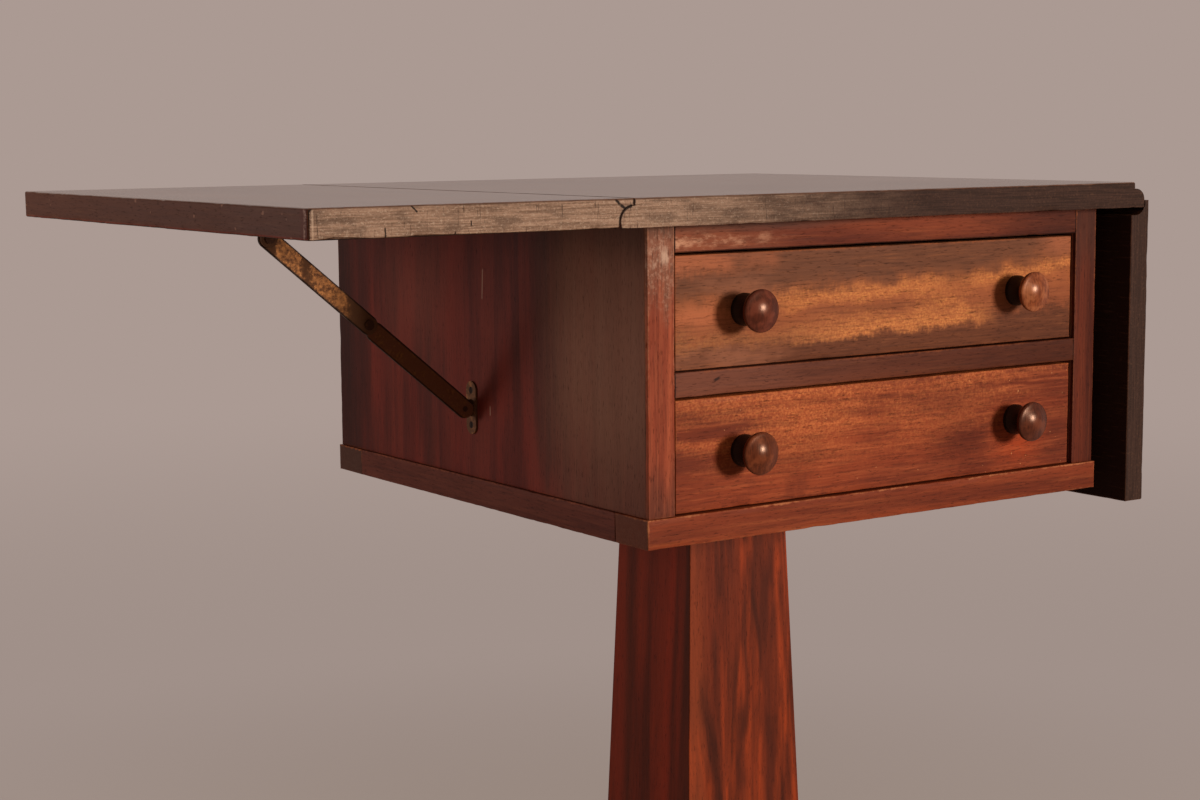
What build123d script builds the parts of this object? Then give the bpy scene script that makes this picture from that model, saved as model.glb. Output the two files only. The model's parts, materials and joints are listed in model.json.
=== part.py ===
from build123d import *
import math
import os

# A sewing table on a pedestal: a case with two drawers, a fixed top and two drop leaves.
# Millimetres. The left leaf is raised and the right one hangs. +X is to the right of a person who
# faces the drawers, +Y to the back and +Z up. Pieces are drawn about the middle of the case, and
# at the end all are shifted so that the origin is on the floor under the middle of the whole table.

# Driving dimensions of the case and the top
TABLE_HEIGHT = 730.0
TOP_THICKNESS = 20.0
SIDE_OVERHANG = 23.1
END_OVERHANG = 18.3
LEAF_WIDTH = 240.2
CASE_WIDTH = 436.4
CASE_DEPTH = 448.4
CASE_HEIGHT = 223.0
SIDE_THICKNESS = 22.7
FACING_THICKNESS = 3.0
BACK_THICKNESS = 10.0
BACK_RABBET = 8.0
RAIL_HEIGHT = 19.3
RAIL_DEPTH = 42.0
DIVIDER_HEIGHT = 17.5
DIVIDER_DEPTH = 60.0
RUNNER_WIDTH = 26.0
TENON_LENGTH = 9.0
TENON_INSET = 6.0
BASE_RAIL_HEIGHT = 21.4
BASE_RAIL_WIDTH = 40.0
BASE_PROUD = 1.8
BOTTOM_THICKNESS = 7.0
BOTTOM_RABBET = 8.0
BEARER_WIDTH = 140.0

# Edge rounding of old, handled wood
TOP_ROUNDING = 1.4
RAIL_ROUNDING = 0.7
COLUMN_ROUNDING = 1.0

# Rule joint between the fixed top and a leaf
FILLET_HEIGHT = 5.2
PIN_RISE = 4.6
PIN_OFFSET = 1.5
RULE_GAP = 0.5

# Table hinges, two in each rule joint
HINGE_LENGTH = 64.0
HINGE_SPACING = 300.0
HINGE_THICKNESS = 2.0
FIXED_FLAP_REACH = 34.0
LEAF_FLAP_REACH = 46.0
BARREL_RADIUS = 3.2
HINGE_PIN_RADIUS = 1.5
MIDDLE_KNUCKLE = 24.0
KNUCKLE_GAP = 0.2
HINGE_CLEARANCE = 0.6
RUNNING_FIT = 0.08

# Folding stay: two links between a plate on the case and a plate under the leaf
STAY_Y = 3.0
STAY_REACH = 148.0
LINK_DIFFERENCE = -4.0
LINK_WIDTH = 14.5
EYE_WIDTH = 10.0
EYE_REACH = 9.0
LINK_THICKNESS = 2.5
LINK_GAP = 0.3
LINK_CLEARANCE = 0.35
PLATE_LENGTH = 41.0
PLATE_WIDTH = 14.0
PLATE_THICKNESS = 1.5
LUG_RADIUS = 6.5
RIVET_RADIUS = 2.2
RIVET_HEAD_RADIUS = 3.8
RIVET_HEAD_HEIGHT = 1.2

# Countersunk wood screws: head radius, shank radius and length of each kind
HINGE_SCREW = (3.0, 1.6, 11.0)
STAY_SCREW = (2.8, 1.5, 12.0)
TOP_SCREW = (4.0, 2.2, 30.0)
SCREW_HEAD_SHARE = 0.6
SCREW_SLOT = 0.7
PLATE_SCREW_SPACING = 27.0
HINGE_SCREW_SPACING = 21.0
HINGE_SCREW_STAGGER = 6.0

# Drawers
DRAWER_GAP_LEFT = 0.8
DRAWER_GAP_RIGHT = 4.6
DRAWER_GAP_TOP = 1.8
DRAWER_GAP_BOTTOM = 1.2
DRAWER_SET_BACK = 0.5
DRAWER_FRONT_THICKNESS = 18.0
DRAWER_SIDE_THICKNESS = 9.0
DRAWER_SIDE_DROP = 3.0
DRAWER_BACK_THICKNESS = 9.0
DRAWER_BACK_DROP = 5.0
DRAWER_BOTTOM_THICKNESS = 6.0
DRAWER_BOTTOM_RAISE = 8.0
DRAWER_GROOVE = 4.0
DRAWER_REAR_GAP = 12.0
DRAWER_RUN_GAP = 0.3
DOVETAIL_COUNT = 3
DOVETAIL_LENGTH = 12.0
DOVETAIL_WIDE_SHARE = 0.74
DOVETAIL_NARROW_SHARE = 0.52
STOP_WIDTH = 30.0
STOP_DEPTH = 8.0
STOP_HEIGHT = 5.0
STOP_SPACING = 200.0

# Turned knobs
KNOB_INSET = 59.8
KNOB_RADIUS = 15.2
KNOB_FLANGE_RADIUS = 11.6
KNOB_NECK_RADIUS = 10.6
KNOB_SHOULDER_RADIUS = 13.2
KNOB_FLANGE_LENGTH = 3.0
KNOB_NECK_LENGTH = 13.0
KNOB_RIM_LENGTH = 19.6
KNOB_SHOULDER_LENGTH = 21.6
KNOB_LENGTH = 25.0
KNOB_TENON_RADIUS = 5.0
KNOB_TENON_LENGTH = 13.0

# Pedestal
COLUMN_SETBACK = 3.0
COLUMN_TOP_WIDTH = 95.8
COLUMN_FOOT_WIDTH = 124.4
COLUMN_TOP_TENON = 60.0
COLUMN_FOOT_TENON = 70.0
COLUMN_FOOT_TENON_LENGTH = 26.0
COLLAR_HEIGHT = 18.0
COLLAR_PROUD = 13.0
COLLAR_ROUNDING = 9.0
PLATFORM_WIDTH = 400.0
PLATFORM_THICKNESS = 36.0
PLATFORM_CORNER = 44.0
PLATFORM_HOLLOW = 48.0
PLATFORM_ROUNDING = 3.0
FOOT_HEIGHT = 48.0
FOOT_RADIUS = 37.0
FOOT_SOLE_RADIUS = 23.0
FOOT_NECK_RADIUS = 26.0
FOOT_NECK_HEIGHT = 7.0
FOOT_INSET = 52.0
FOOT_DOWEL_RADIUS = 11.0
FOOT_DOWEL_LENGTH = 22.0

# Levels, from the top of the table down
TOP_Z = TABLE_HEIGHT
UNDER_Z = TOP_Z - TOP_THICKNESS
CASE_Z = UNDER_Z - CASE_HEIGHT
BASE_TOP_Z = CASE_Z + BASE_RAIL_HEIGHT
RAIL_Z = UNDER_Z - RAIL_HEIGHT
OPENING_HEIGHT = (RAIL_Z - BASE_TOP_Z - DIVIDER_HEIGHT) / 2
DIVIDER_Z = BASE_TOP_Z + OPENING_HEIGHT
UPPER_FLOOR_Z = DIVIDER_Z + DIVIDER_HEIGHT
PLATFORM_TOP_Z = FOOT_HEIGHT + PLATFORM_THICKNESS

# Widths and depths of the case
HALF_WIDTH = CASE_WIDTH / 2
INNER_X = HALF_WIDTH - SIDE_THICKNESS
FRONT_Y = -CASE_DEPTH / 2
BACK_Y = CASE_DEPTH / 2
BACK_FACE_Y = BACK_Y - BACK_THICKNESS
BASE_HALF_X = HALF_WIDTH + BASE_PROUD
BASE_HALF_Y = CASE_DEPTH / 2 + BASE_PROUD
BASE_INNER_X = BASE_HALF_X - BASE_RAIL_WIDTH
BASE_INNER_Y = BASE_HALF_Y - BASE_RAIL_WIDTH
TOP_DEPTH = CASE_DEPTH + 2 * END_OVERHANG
TOP_HALF_Y = TOP_DEPTH / 2
DRAWER_WIDTH = 2 * INNER_X - DRAWER_GAP_LEFT - DRAWER_GAP_RIGHT
KNOB_SPACING = DRAWER_WIDTH - 2 * KNOB_INSET

# Rule joint: the ovolo, the hollow and the leaf all turn about the hinge pin
RULE_RADIUS = TOP_THICKNESS - FILLET_HEIGHT - PIN_RISE
HOLLOW_RADIUS = RULE_RADIUS + RULE_GAP
FILLET_X = HALF_WIDTH + SIDE_OVERHANG
TIP_X = FILLET_X + RULE_GAP
PIN_X = FILLET_X + PIN_OFFSET
PIN_Z = UNDER_Z + PIN_RISE
LEAF_EDGE_X = TIP_X + LEAF_WIDTH
HINGE_ARM = PIN_RISE + HINGE_CLEARANCE

# Stay pivots for the raised leaf, as distance from the middle and height. The two pivots lie in
# line above each other when the leaf hangs, so that the links fold side by side.
CASE_PIVOT_X = HALF_WIDTH + PLATE_THICKNESS + LINK_CLEARANCE + LINK_WIDTH / 2
PIVOT_DROP = PIN_X - CASE_PIVOT_X
CASE_PIVOT = (CASE_PIVOT_X, PIN_Z - STAY_REACH + LINK_DIFFERENCE)
LEAF_PIVOT = (PIN_X + STAY_REACH, PIN_Z - PIVOT_DROP)
STAY_LENGTH = math.dist(CASE_PIVOT, LEAF_PIVOT)
LOWER_LINK = (STAY_LENGTH - LINK_DIFFERENCE) / 2
UPPER_LINK = (STAY_LENGTH + LINK_DIFFERENCE) / 2
STAY_SLOPE = math.atan2(LEAF_PIVOT[1] - CASE_PIVOT[1], LEAF_PIVOT[0] - CASE_PIVOT[0])
FOLD_ANGLE = math.pi / 2

# Middle of the whole table, from the raised leaf to the hanging one and from the knobs to the back
HANGING_FACE_X = PIN_X + TOP_Z - PIN_Z
KNOB_FACE_Y = FRONT_Y + DRAWER_SET_BACK - KNOB_LENGTH
MIDDLE_X = (HANGING_FACE_X - LEAF_EDGE_X) / 2
MIDDLE_Y = (min(KNOB_FACE_Y, -TOP_HALF_Y) + TOP_HALF_Y) / 2

# The stay's layers from front to back: leaf lug, upper link, lower link, case lug
UPPER_LINK_Y = (STAY_Y - LINK_GAP / 2 - LINK_THICKNESS, STAY_Y - LINK_GAP / 2)
LOWER_LINK_Y = (STAY_Y + LINK_GAP / 2, STAY_Y + LINK_GAP / 2 + LINK_THICKNESS)
LEAF_LUG_Y = (UPPER_LINK_Y[0] - LINK_GAP - LINK_THICKNESS, UPPER_LINK_Y[0] - LINK_GAP)
CASE_LUG_Y = (LOWER_LINK_Y[1] + LINK_GAP, LOWER_LINK_Y[1] + LINK_GAP + LINK_THICKNESS)

SIDES = (("left", -1), ("right", 1))


def block(x_from, x_to, y_from, y_to, z_low, z_high):
    """A squared piece of wood or metal between two corners."""
    middle = Pos((x_from + x_to) / 2, (y_from + y_to) / 2, (z_low + z_high) / 2)
    return middle * Box(abs(x_to - x_from), abs(y_to - y_from), z_high - z_low)


def rod(start, direction, radius, length):
    """A round rod from a point along a direction."""
    return Plane(origin=start, z_dir=direction) * Cylinder(
        radius, length, align=(Align.CENTER, Align.CENTER, Align.MIN)
    )


def upright_plane(x, y, z):
    """A drawing plane seen from the front: across is X, up is Z, and it faces -Y."""
    return Plane(origin=(x, y, z), x_dir=(1, 0, 0), z_dir=(0, -1, 0))


def outermost(edges, axis, side):
    """The edges that lie furthest along an axis, on the low or the high side."""
    return edges.group_by(axis)[-1 if side > 0 else 0]


def wood_screw(place, into, size):
    """A countersunk screw with a slotted head, and the hole that it fills."""
    head_radius, shank_radius, length = size
    head_height = (head_radius - shank_radius) / SCREW_HEAD_SHARE
    seat = Plane(origin=place, z_dir=into)
    base = (Align.CENTER, Align.CENTER, Align.MIN)
    head = Cone(head_radius, shank_radius, head_height, align=base)
    shank = Pos(0, 0, head_height) * Cylinder(shank_radius, length - head_height, align=base)
    filled = seat * (head + shank)
    slot = seat * Box(3 * head_radius, SCREW_SLOT, head_height * SCREW_HEAD_SHARE, align=base)
    return filled - slot, filled


def cut_all(piece, tools):
    """Cut several shapes out of a piece."""
    for tool in tools:
        piece = piece - tool
    return piece


def fixed_top_board():
    """The fixed top, with an ovolo and a fillet along each long edge."""
    lower_angle = -math.asin(PIN_RISE / RULE_RADIUS)
    middle_angle = (lower_angle + math.pi / 2) / 2

    def on_ovolo(side, angle):
        reach = PIN_X + RULE_RADIUS * math.cos(angle)
        return (side * reach, PIN_Z + RULE_RADIUS * math.sin(angle))

    lines = []
    for side in (-1, 1):
        low = on_ovolo(side, lower_angle)
        crown = on_ovolo(side, math.pi / 2)
        lines.append(Line((0, UNDER_Z), low))
        lines.append(ThreePointArc(low, on_ovolo(side, middle_angle), crown))
        lines.append(Polyline(crown, (side * FILLET_X, crown[1]), (side * FILLET_X, TOP_Z), (0, TOP_Z)))
    board = extrude(upright_plane(0, 0, 0) * make_face(lines), TOP_HALF_Y, both=True)
    return fillet(outermost(board.edges().filter_by(Axis.X), Axis.Z, 1), TOP_ROUNDING)


def leaf_board(side):
    """A drop leaf in its raised place, with the hollow that rides over the ovolo."""
    def point(x, z):
        return (side * x, z)

    crown_z = PIN_Z + HOLLOW_RADIUS
    turn = HOLLOW_RADIUS * math.sqrt(0.5)
    lines = [
        Polyline(point(TIP_X, TOP_Z), point(TIP_X, crown_z), point(PIN_X, crown_z)),
        ThreePointArc(
            point(PIN_X, crown_z),
            point(PIN_X + turn, PIN_Z + turn),
            point(PIN_X + HOLLOW_RADIUS, PIN_Z),
        ),
        Polyline(
            point(PIN_X + HOLLOW_RADIUS, PIN_Z),
            point(PIN_X + HOLLOW_RADIUS, UNDER_Z),
            point(LEAF_EDGE_X, UNDER_Z),
            point(LEAF_EDGE_X, TOP_Z),
            point(TIP_X, TOP_Z),
        ),
    ]
    board = extrude(upright_plane(0, 0, 0) * make_face(lines), TOP_HALF_Y, both=True)
    across = board.edges().filter_by(Axis.X)
    rounded = outermost(board.edges(), Axis.X, side)
    rounded += outermost(across, Axis.Z, -1) + outermost(across, Axis.Z, 1)
    return fillet(rounded, TOP_ROUNDING)


def hinge_flap(side, place_y, on_leaf):
    """One flap of a table hinge with its knuckles, set flush with the underside."""
    half = HINGE_LENGTH / 2
    inner = MIDDLE_KNUCKLE / 2
    bore = HINGE_PIN_RADIUS
    away = -side
    reach = FIXED_FLAP_REACH
    spans = [(-half, -inner - KNUCKLE_GAP), (inner + KNUCKLE_GAP, half)]
    if on_leaf:
        bore = HINGE_PIN_RADIUS + RUNNING_FIT
        away = side
        reach = LEAF_FLAP_REACH
        spans = [(-inner, inner)]
    pin_x = side * PIN_X
    near_x = pin_x + away * HINGE_ARM
    far_x = pin_x + away * reach
    flap = block(near_x, far_x, place_y - half, place_y + half, UNDER_Z, UNDER_Z + HINGE_THICKNESS)
    for low, high in spans:
        flap += block(pin_x, near_x, place_y + low, place_y + high, UNDER_Z, PIN_Z)
        flap += rod((pin_x, place_y + low, PIN_Z), (0, 1, 0), BARREL_RADIUS, high - low)
    return flap - rod((pin_x, place_y - half, PIN_Z), (0, 1, 0), bore, HINGE_LENGTH)


def hinge_recess(side, place_y):
    """Room for the hinge in the fixed top: a sunk flap, the barrel and the swing of the leaf flap."""
    half = HINGE_LENGTH / 2
    pin_x = side * PIN_X
    flap_x = pin_x - side * FIXED_FLAP_REACH
    pocket_x = pin_x - side * (HINGE_ARM + RULE_GAP)
    open_x = pin_x + side * (RULE_RADIUS + RULE_GAP)
    sunk = block(pin_x, flap_x, place_y - half, place_y + half, UNDER_Z, UNDER_Z + HINGE_THICKNESS)
    pocket = block(
        pocket_x, open_x, place_y - half - RULE_GAP, place_y + half + RULE_GAP,
        UNDER_Z, PIN_Z + BARREL_RADIUS + RULE_GAP,
    )
    return [sunk, pocket]


def hinge_screws(side, place_y, on_leaf):
    """Three staggered screws up through a flap."""
    near = HINGE_ARM
    reach = FIXED_FLAP_REACH
    away = -side
    if on_leaf:
        near = HOLLOW_RADIUS
        reach = LEAF_FLAP_REACH
        away = side
    screws = []
    for step in (-1, 0, 1):
        along = (near + reach) / 2 + HINGE_SCREW_STAGGER * (0.5 - abs(step))
        place = (side * PIN_X + away * along, place_y + step * HINGE_SCREW_SPACING, UNDER_Z)
        screws.append(wood_screw(place, (0, 0, 1), HINGE_SCREW))
    return screws


def link(side, start, end, y_span, eye_width):
    """A flat brass link with round ends between two pivots. It narrows to an eye at its end pivot."""
    start_x, end_x = side * start[0], side * end[0]
    turn = math.degrees(math.atan2(end[1] - start[1], end_x - start_x))
    middle = upright_plane((start_x + end_x) / 2, y_span[1], (start[1] + end[1]) / 2)
    length = math.dist(start, end)
    outline = SlotCenterToCenter(length, eye_width)
    outline += Pos(-EYE_REACH / 2, 0) * SlotCenterToCenter(length - EYE_REACH, LINK_WIDTH)
    return extrude(middle * Rot(0, 0, turn) * outline, y_span[1] - y_span[0])


def rivet_rod(side, pivot, y_span, radius):
    """A round rivet or its hole, across the stay at a pivot."""
    return rod((side * pivot[0], y_span[0], pivot[1]), (0, 1, 0), radius, y_span[1] - y_span[0])


def headed_rivet(side, pivot, y_span, head_at_back):
    """A rivet with a flat head on one side, flush on the other."""
    head = (y_span[0] - RIVET_HEAD_HEIGHT, y_span[0])
    if head_at_back:
        head = (y_span[1], y_span[1] + RIVET_HEAD_HEIGHT)
    return rivet_rod(side, pivot, y_span, RIVET_RADIUS) + rivet_rod(side, pivot, head, RIVET_HEAD_RADIUS)


def plate_outline(plane):
    """A long plate with round ends, drawn on the surface that it is screwed to."""
    return plane * SlotOverall(PLATE_LENGTH, PLATE_WIDTH)


def lug_middle(y_span):
    """The middle of a lug's thickness."""
    return (y_span[0] + y_span[1]) / 2


def case_plate(side):
    """The stay's plate on the side of the case, with its lug."""
    x, z = CASE_PIVOT
    place_y = lug_middle(CASE_LUG_Y)
    surface = Plane(origin=(side * HALF_WIDTH, place_y, z), x_dir=(0, 0, 1), z_dir=(side, 0, 0))
    plate = extrude(plate_outline(surface), PLATE_THICKNESS)
    web = block(side * HALF_WIDTH, side * x, *CASE_LUG_Y, z - LUG_RADIUS, z + LUG_RADIUS)
    eye = rivet_rod(side, CASE_PIVOT, CASE_LUG_Y, LUG_RADIUS)
    return plate + web + eye - rivet_rod(side, CASE_PIVOT, CASE_LUG_Y, RIVET_RADIUS + RUNNING_FIT)


def leaf_plate(side):
    """The stay's plate under a raised leaf, with its lug."""
    x, z = LEAF_PIVOT
    place_y = lug_middle(LEAF_LUG_Y)
    surface = Plane(origin=(side * x, place_y, UNDER_Z), x_dir=(1, 0, 0), z_dir=(0, 0, -1))
    plate = extrude(plate_outline(surface), PLATE_THICKNESS)
    web = block(side * x - LUG_RADIUS, side * x + LUG_RADIUS, *LEAF_LUG_Y, z, UNDER_Z)
    eye = rivet_rod(side, LEAF_PIVOT, LEAF_LUG_Y, LUG_RADIUS)
    return plate + web + eye - rivet_rod(side, LEAF_PIVOT, LEAF_LUG_Y, RIVET_RADIUS + RUNNING_FIT)


def case_plate_screws(side):
    """Two screws through the plate into the side of the case."""
    screws = []
    for step in (-1, 1):
        place = (
            side * (HALF_WIDTH + PLATE_THICKNESS),
            lug_middle(CASE_LUG_Y),
            CASE_PIVOT[1] + step * PLATE_SCREW_SPACING / 2,
        )
        screws.append(wood_screw(place, (-side, 0, 0), STAY_SCREW))
    return screws


def leaf_plate_screws(side):
    """Two screws up through the plate into a raised leaf."""
    screws = []
    for step in (-1, 1):
        place = (
            side * LEAF_PIVOT[0] + step * PLATE_SCREW_SPACING / 2,
            lug_middle(LEAF_LUG_Y),
            UNDER_Z - PLATE_THICKNESS,
        )
        screws.append(wood_screw(place, (0, 0, 1), STAY_SCREW))
    return screws


def cross_rail(y_low, y_high, z_low, z_high):
    """A rail between the case sides, with a stub tenon in each of them."""
    rail = block(-INNER_X, INNER_X, y_low, y_high, z_low, z_high)
    for side in (-1, 1):
        rail += block(
            side * INNER_X, side * (INNER_X + TENON_LENGTH), y_low + TENON_INSET, y_high - TENON_INSET,
            z_low + TENON_INSET, z_high - TENON_INSET,
        )
    return rail


def drawer_front_span():
    """The left and right end of a drawer front."""
    left_x = -INNER_X + DRAWER_GAP_LEFT
    return left_x, left_x + DRAWER_WIDTH


def turned_knob(x, z):
    """A mushroom knob on the face of a drawer, with the tenon that holds it."""
    rim = KNOB_RIM_LENGTH
    under_rim = (rim + KNOB_NECK_LENGTH) / 2
    outline = [
        Polyline(
            (0, -KNOB_TENON_LENGTH), (KNOB_TENON_RADIUS, -KNOB_TENON_LENGTH), (KNOB_TENON_RADIUS, 0),
            (KNOB_FLANGE_RADIUS, 0), (KNOB_FLANGE_RADIUS, KNOB_FLANGE_LENGTH),
        ),
        Spline(
            (KNOB_FLANGE_RADIUS, KNOB_FLANGE_LENGTH), (KNOB_NECK_RADIUS, KNOB_NECK_LENGTH),
            ((KNOB_NECK_RADIUS + KNOB_RADIUS) / 2, under_rim), (KNOB_RADIUS, rim),
            tangents=((-1, 3), (0, 1)),
        ),
        Spline(
            (KNOB_RADIUS, rim), (KNOB_SHOULDER_RADIUS, KNOB_SHOULDER_LENGTH), (0, KNOB_LENGTH),
            tangents=((0, 1), (-1, 0)),
        ),
        Line((0, KNOB_LENGTH), (0, -KNOB_TENON_LENGTH)),
    ]
    face_y = FRONT_Y + DRAWER_SET_BACK
    # The outline is drawn with its length along -Y and turned about that line
    seat = Plane(origin=(x, face_y, z), x_dir=(1, 0, 0), z_dir=(0, 0, -1))
    return revolve(seat * make_face(outline), Axis((x, face_y, z), (0, -1, 0)), 360)


def drawer(floor_z):
    """A drawer whose sides run on a floor at this level: its pieces by name."""
    left_x, right_x = drawer_front_span()
    face_y = FRONT_Y + DRAWER_SET_BACK
    front_back_y = face_y + DRAWER_FRONT_THICKNESS
    rear_y = BACK_FACE_Y - DRAWER_REAR_GAP
    top_z = floor_z + OPENING_HEIGHT - DRAWER_GAP_TOP
    side_low, side_high = floor_z + DRAWER_RUN_GAP, top_z - DRAWER_SIDE_DROP
    bottom_low = floor_z + DRAWER_BOTTOM_RAISE
    bottom_high = bottom_low + DRAWER_BOTTOM_THICKNESS
    inner_left, inner_right = left_x + DRAWER_SIDE_THICKNESS, right_x - DRAWER_SIDE_THICKNESS

    front = block(left_x, right_x, face_y, front_back_y, floor_z + DRAWER_GAP_BOTTOM, top_z)
    front = fillet(outermost(front.edges(), Axis.Y, -1), RAIL_ROUNDING)
    bottom = block(
        inner_left - DRAWER_GROOVE, inner_right + DRAWER_GROOVE,
        front_back_y - DRAWER_GROOVE, rear_y, bottom_low, bottom_high,
    )
    back = block(
        inner_left - DRAWER_GROOVE, inner_right + DRAWER_GROOVE,
        rear_y - DRAWER_BACK_THICKNESS, rear_y, bottom_high, side_high - DRAWER_BACK_DROP,
    )
    pitch = (side_high - side_low) / DOVETAIL_COUNT
    sides = []
    for x_low, x_high in ((left_x, inner_left), (inner_right, right_x)):
        plank = block(x_low, x_high, front_back_y, rear_y, side_low, side_high)
        profile = Plane(origin=(x_low, front_back_y, side_low), x_dir=(0, 1, 0), z_dir=(1, 0, 0))
        for count in range(DOVETAIL_COUNT):
            middle = (count + 0.5) * pitch
            narrow = DOVETAIL_NARROW_SHARE * pitch / 2
            wide = DOVETAIL_WIDE_SHARE * pitch / 2
            tail = make_face(Polyline(
                (0, middle - narrow), (0, middle + narrow), (-DOVETAIL_LENGTH, middle + wide),
                (-DOVETAIL_LENGTH, middle - wide), close=True,
            ))
            plank += extrude(profile * tail, DRAWER_SIDE_THICKNESS)
        sides.append(cut_all(plank, [bottom, back]))
    front = cut_all(front, [bottom] + sides)

    knobs = {}
    for name, side in SIDES:
        knob_x = (left_x + right_x) / 2 + side * KNOB_SPACING / 2
        knobs[name] = turned_knob(knob_x, (floor_z + DRAWER_GAP_BOTTOM + top_z) / 2)
        front = front - knobs[name]
    return {
        "front": front, "sides": Compound(sides), "back": back, "bottom": bottom,
        "left_knob": knobs["left"], "right_knob": knobs["right"],
    }


def drawer_stops():
    """Small blocks behind each drawer front, where the drawer comes to rest."""
    low_y = FRONT_Y + DRAWER_SET_BACK + DRAWER_FRONT_THICKNESS + DRAWER_RUN_GAP
    stops = []
    for floor_z in (BASE_TOP_Z, UPPER_FLOOR_Z):
        for side in (-1, 1):
            middle = side * STOP_SPACING / 2
            stops.append(block(
                middle - STOP_WIDTH / 2, middle + STOP_WIDTH / 2, low_y, low_y + STOP_DEPTH,
                floor_z, floor_z + STOP_HEIGHT,
            ))
    return Compound(stops)


def base_frame():
    """The four rails under the case, their bottom board and the bearer of the column."""
    bottom = block(
        -BASE_INNER_X - BOTTOM_RABBET, BASE_INNER_X + BOTTOM_RABBET,
        -BASE_INNER_Y - BOTTOM_RABBET, BASE_INNER_Y + BOTTOM_RABBET,
        BASE_TOP_Z - BOTTOM_THICKNESS, BASE_TOP_Z,
    )
    bearer = block(
        -BEARER_WIDTH / 2, BEARER_WIDTH / 2, -BASE_INNER_Y - TENON_LENGTH, BASE_INNER_Y + TENON_LENGTH,
        CASE_Z, BASE_TOP_Z - BOTTOM_THICKNESS,
    )
    rails = {}
    for name, side in (("front_base_rail", -1), ("back_base_rail", 1)):
        rail = block(
            -BASE_HALF_X, BASE_HALF_X, side * BASE_HALF_Y, side * BASE_INNER_Y, CASE_Z, BASE_TOP_Z
        )
        rail = fillet(outermost(rail.edges(), Axis.Y, side), RAIL_ROUNDING)
        rails[name] = cut_all(rail, [bottom, bearer])
    for name, side in SIDES:
        outer, inner = side * BASE_HALF_X, side * BASE_INNER_X
        rail = block(outer, inner, -BASE_INNER_Y, BASE_INNER_Y, CASE_Z, BASE_TOP_Z)
        rail = fillet(outermost(rail.edges().filter_by(Axis.Y), Axis.X, side), RAIL_ROUNDING)
        rail += block(
            outer - side * TENON_INSET, inner + side * TENON_INSET,
            -BASE_INNER_Y - TENON_LENGTH, BASE_INNER_Y + TENON_LENGTH,
            CASE_Z + TENON_INSET, BASE_TOP_Z - TENON_INSET,
        )
        rail = rail - bottom
        rails[name + "_base_rail"] = rail
        for end in ("front_base_rail", "back_base_rail"):
            rails[end] = rails[end] - rail
    return rails, bottom, bearer


def square_face(width, z):
    """A level square on the pedestal's axis."""
    return Pos(0, COLUMN_SETBACK, z) * Rectangle(width, width)


def pedestal_column():
    """The square tapered column with a tenon at each end."""
    shaft = loft([square_face(COLUMN_FOOT_WIDTH, PLATFORM_TOP_Z), square_face(COLUMN_TOP_WIDTH, CASE_Z)])
    arrises = shaft.edges() - shaft.edges().filter_by(Plane.XY)
    shaft = fillet(arrises, COLUMN_ROUNDING)
    top_tenon = extrude(square_face(COLUMN_TOP_TENON, CASE_Z), BASE_RAIL_HEIGHT - BOTTOM_THICKNESS)
    foot_tenon = extrude(square_face(COLUMN_FOOT_TENON, PLATFORM_TOP_Z), -COLUMN_FOOT_TENON_LENGTH)
    return shaft + top_tenon + foot_tenon


def column_collar(column):
    """Four mitred strips of moulding round the foot of the column."""
    width = COLUMN_FOOT_WIDTH + 2 * COLLAR_PROUD
    ring = extrude(square_face(width, PLATFORM_TOP_Z), COLLAR_HEIGHT)
    ring = fillet(outermost(ring.edges(), Axis.Z, 1), COLLAR_ROUNDING) - column
    quarter = make_face(Polyline((0, 0), (width, -width), (width, width), close=True))
    strips = []
    for turn in range(4):
        wedge = Pos(0, COLUMN_SETBACK, PLATFORM_TOP_Z) * Rot(0, 0, 90 * turn) * quarter
        strips.append(ring & extrude(wedge, COLLAR_HEIGHT))
    return Compound(strips)


def platform_base():
    """The platform: a square with hollow sides and canted corners."""
    half = PLATFORM_WIDTH / 2
    near = half - PLATFORM_CORNER
    lines = []
    for turn in range(4):
        spin = Rot(0, 0, 90 * turn)
        hollow = ThreePointArc((-near, -half), (0, -half + PLATFORM_HOLLOW), (near, -half))
        lines.append(spin * hollow)
        lines.append(spin * Line((near, -half), (half, -near)))
    plan = Pos(0, COLUMN_SETBACK, FOOT_HEIGHT) * make_face(lines)
    board = extrude(plan, PLATFORM_THICKNESS)
    return fillet(outermost(board.edges(), Axis.Z, 1), PLATFORM_ROUNDING)


def bun_feet():
    """Four turned bun feet under the corners of the platform, each with a dowel."""
    belly_z = (FOOT_HEIGHT - FOOT_NECK_HEIGHT) / 2
    shoulder_z = FOOT_HEIGHT - FOOT_NECK_HEIGHT
    dowel_z = FOOT_HEIGHT + FOOT_DOWEL_LENGTH
    outline = [
        Line((0, 0), (FOOT_SOLE_RADIUS, 0)),
        ThreePointArc((FOOT_SOLE_RADIUS, 0), (FOOT_RADIUS, belly_z), (FOOT_NECK_RADIUS, shoulder_z)),
        Polyline(
            (FOOT_NECK_RADIUS, shoulder_z), (FOOT_NECK_RADIUS, FOOT_HEIGHT),
            (FOOT_DOWEL_RADIUS, FOOT_HEIGHT), (FOOT_DOWEL_RADIUS, dowel_z), (0, dowel_z), (0, 0),
        ),
    ]
    turned = revolve(Plane.XZ * make_face(outline), Axis.Z, 360)
    place = PLATFORM_WIDTH / 2 - FOOT_INSET
    return [Pos(x * place, COLUMN_SETBACK + y * place, 0) * turned for x in (-1, 1) for y in (-1, 1)]


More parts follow.
